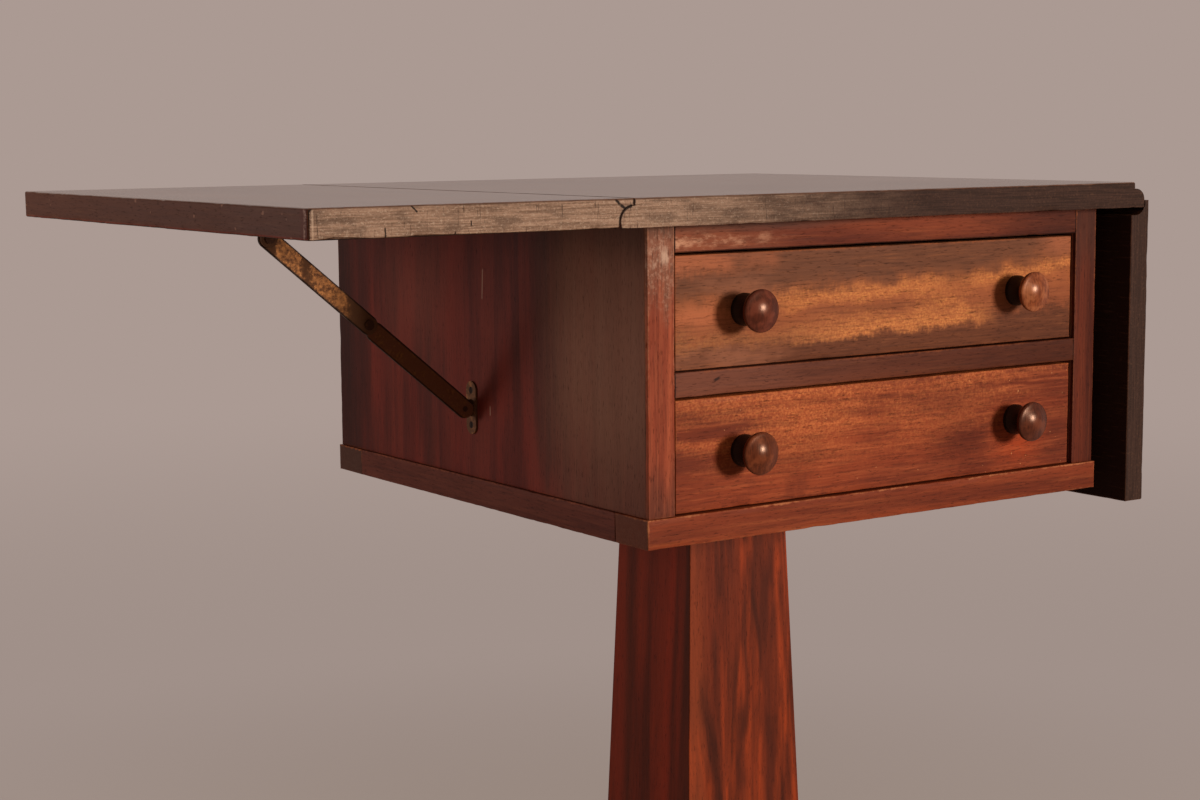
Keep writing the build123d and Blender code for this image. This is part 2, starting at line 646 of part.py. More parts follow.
def build():
    """All the pieces by name, with the left leaf raised and the right one hanging."""
    pieces = {}
    fixed_screws, top_screws, stay_case_screws = [], [], []

    # The case
    top_front_rail = cross_rail(FRONT_Y, FRONT_Y + RAIL_DEPTH, RAIL_Z, UNDER_Z)
    top_back_rail = cross_rail(BACK_FACE_Y - RAIL_DEPTH, BACK_FACE_Y, RAIL_Z, UNDER_Z)
    divider = cross_rail(FRONT_Y, FRONT_Y + DIVIDER_DEPTH, DIVIDER_Z, UPPER_FLOOR_Z)
    case_back = block(
        -INNER_X - BACK_RABBET, INNER_X + BACK_RABBET, BACK_FACE_Y, BACK_Y, BASE_TOP_Z, UNDER_Z
    )
    kickers, runners = [], []
    for name, side in SIDES:
        inner, outer = side * INNER_X, side * HALF_WIDTH
        narrow = side * (INNER_X - RUNNER_WIDTH)
        board = block(inner, outer, FRONT_Y + FACING_THICKNESS, BACK_Y, BASE_TOP_Z, UNDER_Z)
        board = cut_all(board, [case_back, top_front_rail, top_back_rail, divider])
        screws = case_plate_screws(side)
        plate = case_plate(side)
        pieces[name + "_case_side"] = cut_all(board, [hole for screw, hole in screws])
        pieces[name + "_stay_case_plate"] = cut_all(plate, [hole for screw, hole in screws])
        stay_case_screws += [screw for screw, hole in screws]
        facing = block(inner, outer, FRONT_Y, FRONT_Y + FACING_THICKNESS, BASE_TOP_Z, UNDER_Z)
        upright = outermost(facing.edges().filter_by(Axis.Z), Axis.Y, -1)
        pieces[name + "_front_facing"] = fillet(outermost(upright, Axis.X, side), RAIL_ROUNDING)
        kickers.append(
            block(narrow, inner, FRONT_Y + RAIL_DEPTH, BACK_FACE_Y - RAIL_DEPTH, RAIL_Z, UNDER_Z)
        )
        runners.append(
            block(narrow, inner, FRONT_Y + DIVIDER_DEPTH, BACK_FACE_Y, DIVIDER_Z, UPPER_FLOOR_Z)
        )

    # Screws up through the rails and kickers into the top
    screw_x = INNER_X - RUNNER_WIDTH / 2
    places = [(x * screw_x, 0) for x in (-1, 1)]
    places += [(x * screw_x / 2, FRONT_Y + RAIL_DEPTH / 2) for x in (-1, 1)]
    places += [(x * screw_x / 2, BACK_FACE_Y - RAIL_DEPTH / 2) for x in (-1, 1)]
    top_holes = []
    for x, y in places:
        screw, hole = wood_screw((x, y, RAIL_Z), (0, 0, 1), TOP_SCREW)
        top_screws.append(screw)
        top_holes.append(hole)
    pieces["case_back"] = case_back
    pieces["top_front_rail"] = cut_all(top_front_rail, top_holes)
    pieces["top_back_rail"] = cut_all(top_back_rail, top_holes)
    pieces["top_kickers"] = Compound([cut_all(kicker, top_holes) for kicker in kickers])
    pieces["drawer_divider"] = divider
    pieces["drawer_runners"] = Compound(runners)
    pieces["drawer_stops"] = drawer_stops()
    pieces["top_screws"] = Compound(top_screws)
    fixed_top = cut_all(fixed_top_board(), top_holes)

    # The base frame and the pedestal
    rails, bottom, bearer = base_frame()
    pieces.update(rails)
    pieces["bottom_board"] = bottom
    column = pedestal_column()
    feet = bun_feet()
    pieces["column_bearer"] = bearer - column
    pieces["pedestal_column"] = column
    pieces["column_collar"] = column_collar(column)
    pieces["platform_base"] = cut_all(platform_base(), [column] + feet)
    pieces["bun_feet"] = Compound(feet)

    # The leaves, their hinges and their stays
    for name, side in SIDES:
        pin_line = Axis((side * PIN_X, 0, PIN_Z), (0, 1, 0))
        leaf = leaf_board(side)
        pins, fixed_flaps, leaf_flaps, leaf_screws = [], [], [], []
        for end in (-1, 1):
            place_y = end * HINGE_SPACING / 2
            fixed_flap = hinge_flap(side, place_y, on_leaf=False)
            leaf_flap = hinge_flap(side, place_y, on_leaf=True)
            screws = hinge_screws(side, place_y, on_leaf=False)
            fixed_top = cut_all(fixed_top, hinge_recess(side, place_y) + [hole for screw, hole in screws])
            fixed_flaps.append(cut_all(fixed_flap, [hole for screw, hole in screws]))
            fixed_screws += [screw for screw, hole in screws]
            screws = hinge_screws(side, place_y, on_leaf=True)
            leaf = cut_all(leaf, [leaf_flap] + [hole for screw, hole in screws])
            leaf_flaps.append(cut_all(leaf_flap, [hole for screw, hole in screws]))
            leaf_screws += [screw for screw, hole in screws]
            pin_end = (side * PIN_X, place_y - HINGE_LENGTH / 2, PIN_Z)
            pins.append(rod(pin_end, (0, 1, 0), HINGE_PIN_RADIUS, HINGE_LENGTH))
        screws = leaf_plate_screws(side)
        leaf = cut_all(leaf, [hole for screw, hole in screws])
        plate = cut_all(leaf_plate(side), [hole for screw, hole in screws])
        leaf_screws += [screw for screw, hole in screws]

        hanging = side > 0
        angle = FOLD_ANGLE if hanging else STAY_SLOPE
        leaf_pivot = LEAF_PIVOT
        if hanging:
            leaf_pivot = (PIN_X - PIVOT_DROP, PIN_Z - STAY_REACH)
        knuckle = (
            CASE_PIVOT[0] + LOWER_LINK * math.cos(angle),
            CASE_PIVOT[1] + LOWER_LINK * math.sin(angle),
        )
        lower_rivets = [
            headed_rivet(side, CASE_PIVOT, (LOWER_LINK_Y[0], CASE_LUG_Y[1]), head_at_back=True),
            headed_rivet(side, knuckle, LOWER_LINK_Y, head_at_back=True),
        ]
        upper_rivets = [
            headed_rivet(side, leaf_pivot, (LEAF_LUG_Y[0], UPPER_LINK_Y[1]), head_at_back=False),
            headed_rivet(side, knuckle, UPPER_LINK_Y, head_at_back=False),
        ]
        # The eye at the end of the lower link is narrow, so that it clears the leaf on its way down
        lower_link = link(side, CASE_PIVOT, knuckle, LOWER_LINK_Y, EYE_WIDTH)
        upper_link = link(side, leaf_pivot, knuckle, UPPER_LINK_Y, LINK_WIDTH)
        pieces[name + "_stay_lower_link"] = cut_all(lower_link, lower_rivets)
        pieces[name + "_stay_lower_rivets"] = Compound(lower_rivets)
        pieces[name + "_stay_upper_link"] = cut_all(upper_link, upper_rivets)
        pieces[name + "_stay_upper_rivets"] = Compound(upper_rivets)

        leaf_pieces = {
            name + "_leaf": leaf,
            name + "_hinge_leaf_flaps": Compound(leaf_flaps),
            name + "_leaf_screws": Compound(leaf_screws),
            name + "_stay_leaf_plate": plate,
        }
        for piece_name, piece in leaf_pieces.items():
            pieces[piece_name] = piece.rotate(pin_line, 90) if hanging else piece
        pieces[name + "_hinge_fixed_flaps"] = Compound(fixed_flaps)
        pieces[name + "_hinge_pins"] = Compound(pins)
    pieces["fixed_top"] = fixed_top
    pieces["hinge_screws"] = Compound(fixed_screws)
    pieces["stay_case_screws"] = Compound(stay_case_screws)

    # The drawers
    for name, floor_z in (("upper", UPPER_FLOOR_Z), ("lower", BASE_TOP_Z)):
        for piece_name, piece in drawer(floor_z).items():
            pieces[name + "_drawer_" + piece_name] = piece
    return pieces


os.makedirs("parts", exist_ok=True)
for node, shape in build().items():
    export_step(Pos(-MIDDLE_X, -MIDDLE_Y, 0) * shape, "parts/" + node + ".step")
lower_turn = math.degrees(FOLD_ANGLE - STAY_SLOPE)
print("stay: lower link turns", round(lower_turn, 4), "upper link turns", round(90 - lower_turn, 4))
print("links", round(LOWER_LINK, 3), round(UPPER_LINK, 3))
print("pivots", CASE_PIVOT, LEAF_PIVOT, "hinge pin", PIN_X, PIN_Z)
print("middle of the whole", MIDDLE_X, MIDDLE_Y)
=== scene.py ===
# %% [markdown]
# # A drop-leaf sewing table, dressed
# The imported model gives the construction: every board, hinge and stay at its real size, already in
# place. This lesson adds what a camera sees on an old table: figured and faded wood, rubbed arrises,
# nicks along the end grain, tarnished brass and a soft studio light. The first step loads the model
# as a fixed frame, because the looks must never move or resize what the joiner made.

# %% Load the frame
import json
import math

import bmesh
import bpy
from mathutils import Matrix, Vector, noise


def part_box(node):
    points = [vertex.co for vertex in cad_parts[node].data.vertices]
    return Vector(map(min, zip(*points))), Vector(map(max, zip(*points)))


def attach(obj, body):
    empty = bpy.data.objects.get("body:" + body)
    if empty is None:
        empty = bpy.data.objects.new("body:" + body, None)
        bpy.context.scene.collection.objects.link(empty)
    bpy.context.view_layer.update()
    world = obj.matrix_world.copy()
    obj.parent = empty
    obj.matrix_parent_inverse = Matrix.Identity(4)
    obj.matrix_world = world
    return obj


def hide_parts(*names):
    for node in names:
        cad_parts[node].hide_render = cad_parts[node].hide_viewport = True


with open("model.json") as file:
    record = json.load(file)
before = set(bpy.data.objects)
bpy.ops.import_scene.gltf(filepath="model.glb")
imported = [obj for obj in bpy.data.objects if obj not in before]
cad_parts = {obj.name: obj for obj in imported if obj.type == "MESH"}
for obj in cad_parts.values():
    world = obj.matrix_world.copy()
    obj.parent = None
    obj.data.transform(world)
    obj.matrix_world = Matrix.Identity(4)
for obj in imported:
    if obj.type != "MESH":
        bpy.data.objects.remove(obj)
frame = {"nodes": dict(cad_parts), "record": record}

MM = 0.001
X, Y, Z = 0, 1, 2
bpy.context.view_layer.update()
record = frame["record"]
body_of = {}
for body, members in record["behaviour"]["bodies"].items():
    body_of.update({node: body for node in members})
slot_of = {row["node"]: row["material_slot"] for row in record["subparts"]}

# %% [markdown]
# ## The camera
# The photograph was taken from the left and a little above the table's top. The place, turn and lens
# below were solved from the corners of the case, so the picture can be laid over the photograph. A
# camera's own axes are right, up and backwards, so the matrix is put together from those three.

# %% Camera at the photograph's angle
CAMERA_PLACE = Vector((-0.9613, -1.41015, 0.7787))
CAMERA_TURN = math.radians(34.44)
CAMERA_TILT = math.radians(-7.27)
CAMERA_ROLL = math.radians(-0.455)
CAMERA_LENS = 64.95

level = math.cos(CAMERA_TILT)
look = Vector((level * math.sin(CAMERA_TURN), level * math.cos(CAMERA_TURN), math.sin(CAMERA_TILT)))
across = Vector((math.cos(CAMERA_TURN), -math.sin(CAMERA_TURN), 0))
upward = across.cross(look)
rolled_across = math.cos(CAMERA_ROLL) * across + math.sin(CAMERA_ROLL) * upward
rolled_upward = math.cos(CAMERA_ROLL) * upward - math.sin(CAMERA_ROLL) * across
camera = bpy.data.objects.new("camera", bpy.data.cameras.new("camera"))
camera.data.lens = CAMERA_LENS
camera.matrix_world = (
    Matrix.Translation(CAMERA_PLACE) @ Matrix((rolled_across, rolled_upward, -look)).transposed().to_4x4()
)
bpy.context.scene.collection.objects.link(camera)
bpy.context.scene.camera = camera
bpy.context.scene.view_settings.view_transform = "Standard"

# %% [markdown]
# ## Writing finishes as arithmetic
# A finish is a web of nodes, and webs are hard to read. The two small classes below let a finish be
# written as plain arithmetic: a `Field` is a value that changes over a surface, and adding or
# multiplying fields adds the Math nodes. Any other node comes from `Recipe.node`, which takes the
# node's type, its settings and what goes into its sockets.

# %% Fields
class Field:
    """A socket whose value changes over a surface. Arithmetic on it adds Math nodes."""

    def __init__(self, recipe, socket):
        self.recipe = recipe
        self.socket = socket

    def reckon(self, operation, first, second):
        return self.recipe.node("ShaderNodeMath", {"operation": operation}, {0: first, 1: second})

    def __add__(self, other):
        return self.reckon("ADD", self, other)

    def __sub__(self, other):
        return self.reckon("SUBTRACT", self, other)

    def __rsub__(self, other):
        return self.reckon("SUBTRACT", other, self)

    def __mul__(self, other):
        return self.reckon("MULTIPLY", self, other)

    def least(self, other):
        return self.reckon("MINIMUM", self, other)

    def most(self, other):
        return self.reckon("MAXIMUM", self, other)

    def size(self):
        return self.reckon("ABSOLUTE", self, 0.0)

    __radd__ = __add__
    __rmul__ = __mul__


print("fields add, subtract and multiply, and give the least, the most and the size")


# %% Recipes
class Recipe:
    """A node tree, with one method that adds any node to it."""

    def __init__(self, tree):
        self.tree = tree

    def node(self, kind, settings=None, sockets=None, out=0):
        made = self.tree.nodes.new(kind)
        for name, value in (settings or {}).items():
            setattr(made, name, value)
        for name, value in (sockets or {}).items():
            self.feed(made.inputs[name], value)
        return Field(self, made.outputs[out])

    def feed(self, socket, value):
        if isinstance(value, Field):
            self.tree.links.new(value.socket, socket)
        else:
            socket.default_value = value

    def mix(self, share, first, second):
        """A colour between two colours."""
        return self.node("ShaderNodeMix", {"data_type": "RGBA"}, {0: share, 6: first, 7: second}, out=2)

    def rise(self, value, start, end):
        """A smooth step from 0 at start to 1 at end."""
        return self.node(
            "ShaderNodeMapRange", {"interpolation_type": "SMOOTHSTEP"}, {0: value, 1: start, 2: end}
        )

    def bump(self, value, middle, reach):
        """A smooth hump of 1 at the middle that falls to 0 within its reach."""
        return self.rise((value - middle).size(), reach, 0.0)

    def stretched(self, place, factors, shift=(0, 0, 0)):
        """Places scaled along each axis, for textures that are long one way."""
        scaled = self.node("ShaderNodeVectorMath", {"operation": "MULTIPLY"}, {0: place, 1: factors})
        return self.node("ShaderNodeVectorMath", {"operation": "ADD"}, {0: scaled, 1: shift})

    def cloud(self, place, detail=2.0, roughness=0.5, swirl=0.0):
        """Soft noise of about one blot per unit of place."""
        return self.node("ShaderNodeTexNoise", None, {
            "Vector": place, "Scale": 1.0, "Detail": detail, "Roughness": roughness, "Distortion": swirl
        })


def srgb(red, green, blue):
    """A colour as a screen shows it, 0 to 255, in Blender's linear values."""
    shares = [level / 255 for level in (red, green, blue)]
    return (*[s / 12.92 if s <= 0.04045 else ((s + 0.055) / 1.055) ** 2.4 for s in shares], 1.0)


print("a middle brown in linear light:", srgb(128, 64, 32))

# %% [markdown]
# ## A plain studio
# The table stands on a plain pale floor that fades into a backdrop of the same warm grey. Light Path
# tells the camera and the reflections, which see that grey, from the soft light that falls on the
# table, which is weaker, so that the shadows stay deep. The floor's near part is matt and keeps the
# shadow. Its far part glows in the backdrop's colour, a little darker near the table and lighter far
# off, so that no horizon shows.

# %% Backdrop and floor
BACKDROP = srgb(171, 154, 147)
BACKDROP_LOW = srgb(160, 144, 137)
FLOOR_COLOUR = srgb(220, 209, 202)
AMBIENT_SHARE = 0.46
FLOOR_RADIUS = 9.0
FADE_START, FADE_END = 0.5, 1.5
GLOW_START, GLOW_END = 1.5, 4.5


def seen_or_lit(recipe):
    """1 for rays that see the backdrop, less for rays that only gather light from it."""
    rays = ("Is Camera Ray", "Is Glossy Ray", "Is Transmission Ray")
    straight, mirrored, through = [recipe.node("ShaderNodeLightPath", out=ray) for ray in rays]
    return AMBIENT_SHARE + (1 - AMBIENT_SHARE) * straight.most(mirrored).most(through)


world = bpy.data.worlds.new("studio")
bpy.context.scene.world = world
world.use_nodes = True
room = Recipe(world.node_tree)
background = world.node_tree.nodes["Background"]
background.inputs["Color"].default_value = BACKDROP
room.feed(background.inputs["Strength"], seen_or_lit(room))

floor_mesh = bpy.data.meshes.new("floor")
shape = bmesh.new()
bmesh.ops.create_circle(shape, cap_ends=True, segments=96, radius=FLOOR_RADIUS)
shape.to_mesh(floor_mesh)
shape.free()
floor = bpy.data.objects.new("floor", floor_mesh)
bpy.context.scene.collection.objects.link(floor)

floor_finish = bpy.data.materials.new("floor_finish")
floor_finish.use_nodes = True
ground = Recipe(floor_finish.node_tree)
matt = floor_finish.node_tree.nodes["Principled BSDF"]
matt.inputs["Base Color"].default_value = FLOOR_COLOUR
matt.inputs["Roughness"].default_value = 0.9
place = ground.node("ShaderNodeTexCoord", out=3)
distance = ground.node("ShaderNodeVectorMath", {"operation": "LENGTH"}, {0: place}, out=1)
haze = ground.mix(ground.rise(distance, GLOW_START, GLOW_END), BACKDROP_LOW, BACKDROP)
glow = ground.node("ShaderNodeEmission", None, {"Color": haze, "Strength": seen_or_lit(ground)})
faded = ground.node("ShaderNodeMixShader", None, {
    0: ground.rise(distance, FADE_START, FADE_END), 1: Field(ground, matt.outputs[0]), 2: glow
})
ground.feed(floor_finish.node_tree.nodes["Material Output"].inputs["Surface"], faded)
floor_mesh.materials.append(floor_finish)
print("floor", FLOOR_RADIUS, "m, fading from", FADE_START, "to", FADE_END, "m")

# %% [markdown]
# ## Two soft boxes
# Each knob throws its shadow to the left on the drawer front, by less than half its own length, so
# the main light stands to the right and only a little higher than the drawers. The stay's faint
# shadow on the side of the case leans forwards and up, so a weaker light comes from the left and from
# behind, no higher than the main one. Both are square lamps, broad enough to blur the shadows' edges.

# %% Lights
case_low, case_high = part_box("case_back")
case_middle = Vector(((case_low.x + case_high.x) / 2, 0, (case_low.z + case_high.z) / 2))


def soft_box(name, direction, distance, size, power, colour):
    """A square lamp that looks at the middle of the case."""
    lamp = bpy.data.lights.new(name, "AREA")
    lamp.size = size
    lamp.energy = power
    lamp.color = colour
    stand = bpy.data.objects.new(name, lamp)
    aim = Vector(direction).normalized()
    stand.location = case_middle + distance * aim
    stand.rotation_euler = aim.to_track_quat("Z", "Y").to_euler()
    bpy.context.scene.collection.objects.link(stand)
    return stand


key_light = soft_box(
    "key_light", direction=(0.41, -0.90, 0.125), distance=4.0, size=0.80, power=142,
    colour=(1.0, 0.94, 0.87))
side_light = soft_box(
    "side_light", direction=(-0.855, 0.509, 0.105), distance=2.0, size=0.6, power=11,
    colour=(1.0, 0.94, 0.89))
print("lamps", key_light.location, side_light.location)

# %% [markdown]
# ## Boards that have been handled
# A CAD board has perfect edges. On the real table a century of sleeves and knocks has rounded the
# arrises and left nicks in the end grain. A board is copied into a mesh, its sharp edges are
# bevelled, it is cut into narrow strips across the arrises, and the points near an arris are pushed
# in by smooth noise. Points only ever move inwards, so the board keeps its size.

# %% Copy, bevel and cut a board
SHARP = math.radians(50)
FLAT = math.radians(0.3)
WELD = 2e-6
ON_PLANE = 1e-5
CUT_GAP = 1e-6


def solid_copy(node):
    """The CAD piece as an editable mesh with large flat faces."""
    shape = bmesh.new()
    shape.from_mesh(frame["nodes"][node].data)
    bmesh.ops.remove_doubles(shape, verts=shape.verts[:], dist=WELD)
    bmesh.ops.dissolve_limit(shape, angle_limit=FLAT, verts=shape.verts[:], edges=shape.edges[:])
    return shape


def is_sharp(edge):
    return edge.is_manifold and edge.is_convex and edge.calc_face_angle(0) >= SHARP


def on_plane(edge, axis, value):
    return all(abs(vert.co[axis] - value) < ON_PLANE for vert in edge.verts)


def outer_edges(shape, low, high, whole_faces=(Y,)):
    """Sharp edges on the corners of the board's box, or anywhere on its end faces."""
    found = []
    for edge in filter(is_sharp, shape.edges):
        planes = [axis for axis in (X, Y, Z) for value in (low[axis], high[axis])
                  if on_plane(edge, axis, value)]
        if len(planes) > 1 or any(axis in whole_faces for axis in planes):
            found.append(edge)
    return found


def break_edges(shape, edges, width):
    """A small rounded bevel along sharp edges, its width in millimetres."""
    bmesh.ops.bevel(
        shape, geom=edges, offset=width * MM, segments=2, profile=0.5, affect="EDGES", clamp_overlap=True
    )


def slice_board(shape, axis, places):
    """Cut the mesh with planes square to an axis, so that there are points to move."""
    normal = Vector([1.0 if step == axis else 0.0 for step in (X, Y, Z)])
    for value in places:
        bmesh.ops.bisect_plane(
            shape, geom=shape.verts[:] + shape.edges[:] + shape.faces[:], dist=CUT_GAP,
            plane_co=normal * value, plane_no=normal,
        )


def stations(low, high, step):
    """Evenly spaced places between two ends."""
    count = max(1, round((high - low) / step))
    return [low + (high - low) * index / count for index in range(1, count)]


print("edges over", round(math.degrees(SHARP)), "degrees count as sharp")

# %% Wear along the arrises
FACE_INWARD = [(axis, end) for axis in (X, Y, Z) for end in (1, -1)]
NICK_PITCH = 0.009
CHIP_PITCH = 0.030
WEAR_LIMIT = 1.8
TOUCHED = 1e-6


def nick(place):
    """How hard an arris has been hit here: a soft wobble, small nicks and rare chips."""
    wobble = 0.25 * (1 + noise.noise(place / (3 * NICK_PITCH)))
    nicks = max(0.0, noise.noise(place / NICK_PITCH) - 0.1)
    chips = max(0.0, noise.noise(place / CHIP_PITCH + Vector((7, 3, 5))) - 0.3)
    return wobble + 0.9 * nicks + 1.8 * chips


def rub_arrises(shape, low, high, depth, reach):
    """Push the points near an arris inwards, and shade only the faces there smooth."""
    for vert in shape.verts:
        vert.tag = False
        gaps = []
        for axis, end in FACE_INWARD:
            gap = vert.co[axis] - low[axis] if end > 0 else high[axis] - vert.co[axis]
            gaps.append((max(gap, 0.0), axis, end))
        gaps.sort()
        (first, first_axis, first_end), (second, second_axis, second_end) = gaps[:2]
        if second > WEAR_LIMIT * reach or first > reach:
            continue
        push = depth * nick(vert.co) * math.exp(-((second / reach) ** 2)) * math.sqrt(0.5)
        vert.co[first_axis] += first_end * push
        vert.co[second_axis] += second_end * push
        vert.tag = push > TOUCHED
    for face in shape.faces:
        face.smooth = any(vert.tag for vert in face.verts)


print("wear: nicks every", NICK_PITCH / MM, "mm, chips every", CHIP_PITCH / MM, "mm")

# %% Hand a mesh over as a piece
CREASE = math.radians(35)
shown = dict(frame["nodes"])


def finish_piece(node, shape):
    """The edited mesh as a shown piece that stands for its CAD node and rides on its body."""
    mesh = bpy.data.meshes.new(node + "_piece")
    rounded = [face.smooth for face in shape.faces]
    shape.to_mesh(mesh)
    shape.free()
    mesh.set_sharp_from_angle(angle=CREASE)
    mesh.polygons.foreach_set("use_smooth", rounded)
    piece = bpy.data.objects.new(node + "_piece", mesh)
    bpy.context.scene.collection.objects.link(piece)
    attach(piece, body_of[node])
    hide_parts(node)
    shown[node] = piece
    return piece


print(len(shown), "pieces shown so far, all of them as the CAD made them")

# %% [markdown]
# ## The boards, one by one
# Each board gets strips only where its arrises show: a leaf along three edges, the fixed top along
# its two ends, a rail along its length. The depth says how badly it has been treated: the raised leaf
# and the top have suffered most, the facings and the drawer fronts least. Sizes here are millimetres.

# %% Worn boards
ARRIS_BANDS = (1.6, 4.2)
WEAR_REACH = 2.2
BOARDS = {
    "left_leaf": {"steps": {X: 3.0, Y: 4.0}, "depth": 1.3, "bevel": 0.7},
    "right_leaf": {"steps": {Z: 4.0, Y: 4.0}, "depth": 0.5, "bevel": 0.7},
    "fixed_top": {"steps": {X: 3.0}, "depth": 1.0, "bevel": 0.7},
    "left_front_facing": {"steps": {Z: 3.0}, "depth": 0.5, "bevel": 0.3},
    "right_front_facing": {"steps": {Z: 3.0}, "depth": 0.4, "bevel": 0.3},
    "top_front_rail": {"steps": {X: 4.0}, "depth": 0.5, "bevel": 0.4},
    "drawer_divider": {"steps": {X: 4.0}, "depth": 0.6, "bevel": 0.4},
    "front_base_rail": {"steps": {X: 4.0}, "depth": 0.8, "bevel": 0.5},
    "back_base_rail": {"steps": {X: 5.0}, "depth": 0.7, "bevel": 0.5},
    "left_base_rail": {"steps": {Y: 4.0}, "depth": 0.7, "bevel": 0.5},
    "right_base_rail": {"steps": {Y: 4.0}, "depth": 0.7, "bevel": 0.5},
    "left_case_side": {"steps": {Z: 5.0}, "depth": 0.6, "bevel": 0.4},
    "right_case_side": {"steps": {Z: 5.0}, "depth": 0.6, "bevel": 0.4},
    "upper_drawer_front": {"steps": {X: 4.0, Z: 6.0}, "depth": 0.5, "bevel": 0.4},
    "lower_drawer_front": {"steps": {X: 4.0, Z: 6.0}, "depth": 0.5, "bevel": 0.4},
}


def worn_board(node, steps, depth, bevel):
    """A board with bevelled, nicked arrises."""
    low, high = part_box(node)
    shape = solid_copy(node)
    break_edges(shape, outer_edges(shape, low, high), bevel)
    for axis in (X, Y, Z):
        bands = [band * MM for band in ARRIS_BANDS]
        slice_board(shape, axis, [low[axis] + band for band in bands] + [high[axis] - band for band in bands])
        if axis in steps:
            slice_board(shape, axis, stations(low[axis], high[axis], steps[axis] * MM))
    rub_arrises(shape, low, high, depth * MM, WEAR_REACH * MM)
    return finish_piece(node, shape)


for node, care in BOARDS.items():
    piece = worn_board(node, **care)
    print(node, len(piece.data.polygons), "faces")

# %% [markdown]
# ## Wood under old shellac
# Mahogany is a red-brown wood with ribbons a finger wide, finer fibres inside them and short dark
# pores. All three are the same noise, stretched along the grain by different amounts. Two boards are
# never alike, so each finish gets its own colours, its own grain direction and its own stains, and
# it knows the box of its board, so that the arrises can be rubbed paler.

# %% Where a point is on its board
class PieceFinish(Recipe):
    """One piece's material: where a point is, which way it faces, and its grain."""

    def __init__(self, node, grain):
        self.material = bpy.data.materials.new(node + "_finish")
        self.material.use_nodes = True
        super().__init__(self.material.node_tree)
        self.surface = self.tree.nodes["Principled BSDF"]
        self.low, self.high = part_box(node)
        self.grain = grain
        self.place = self.node("ShaderNodeTexCoord", out=3)
        self.x, self.y, self.z = [self.part(self.place, axis) for axis in (X, Y, Z)]
        self.facing = [self.part(self.node("ShaderNodeTexCoord", out=1), axis) for axis in (X, Y, Z)]
        piece = shown[node]
        piece.data.materials.clear()
        piece.data.materials.append(self.material)

    def part(self, vector, axis):
        return self.node("ShaderNodeSeparateXYZ", None, {0: vector}, out=axis)

    def share(self, axis):
        """How far along the board a point is, from 0 to 1."""
        return ((self.x, self.y, self.z)[axis] - self.low[axis]) * (1 / (self.high - self.low)[axis])

    def blotched(self, per_metre, detail=2.0, roughness=0.5, shift=0.0, swirl=0.0):
        """Noise with its own number of blots per metre along each axis."""
        return self.cloud(self.stretched(self.place, per_metre, (shift,) * 3), detail, roughness, swirl)

    def streaks(self, along, across, detail=3.0, shift=0.0, swirl=0.0):
        """Noise drawn out along the grain: blots per metre along and across it."""
        per_metre = [along if axis == self.grain else across for axis in (X, Y, Z)]
        return self.blotched(per_metre, detail, 0.55, shift, swirl)

    def blots(self, per_metre, detail=3.0, shift=0.0):
        """Noise that is alike in all directions."""
        return self.blotched((per_metre,) * 3, detail, 0.6, shift)

    def arris_gap(self):
        """Distance to the nearest arris of the board: the second smallest distance to its faces."""
        gaps = []
        for place, near, far in zip((self.x, self.y, self.z), self.low, self.high):
            gaps.append((place - near).least(far - place))
        a, b, c = gaps
        return a.least(b).most(a.most(b).least(c))

    def faces(self, axis, sign):
        """1 where the surface looks along an axis."""
        return self.rise(self.facing[axis] * sign, 0.6, 0.85)

    def line(self, across, along, start, end, width):
        """1 on a thin straight line, given by two points in two of the board's directions."""
        run = (end[0] - start[0], end[1] - start[1])
        length = math.hypot(*run)
        side = ((across - start[0]) * (run[1] / length) - (along - start[1]) * (run[0] / length)).size()
        reach = (across - start[0]) * (run[0] / length) + (along - start[1]) * (run[1] / length)
        inside = self.rise((reach - length / 2).size(), length / 2 + width, length / 2 - width)
        return self.rise(side, width, width * 0.4) * inside

    def apply(self, colour, rough, sheen, relief, strength, depth):
        """Feed the shader a colour, a roughness, a sheen and a fine relief."""
        self.feed(self.surface.inputs["Base Color"], colour)
        self.feed(self.surface.inputs["Roughness"], rough)
        self.surface.inputs["Specular IOR Level"].default_value = sheen
        sockets = {"Strength": strength, "Distance": depth, "Height": relief}
        self.feed(self.surface.inputs["Normal"], self.node("ShaderNodeBump", None, sockets))


print("a finish knows place, facing, grain and arrises, and is put on its piece")

# %% The wood finish
PORE_COLOUR = srgb(26, 11, 8)
END_GRAIN_SHOWN = {"left_leaf", "right_leaf", "fixed_top"}


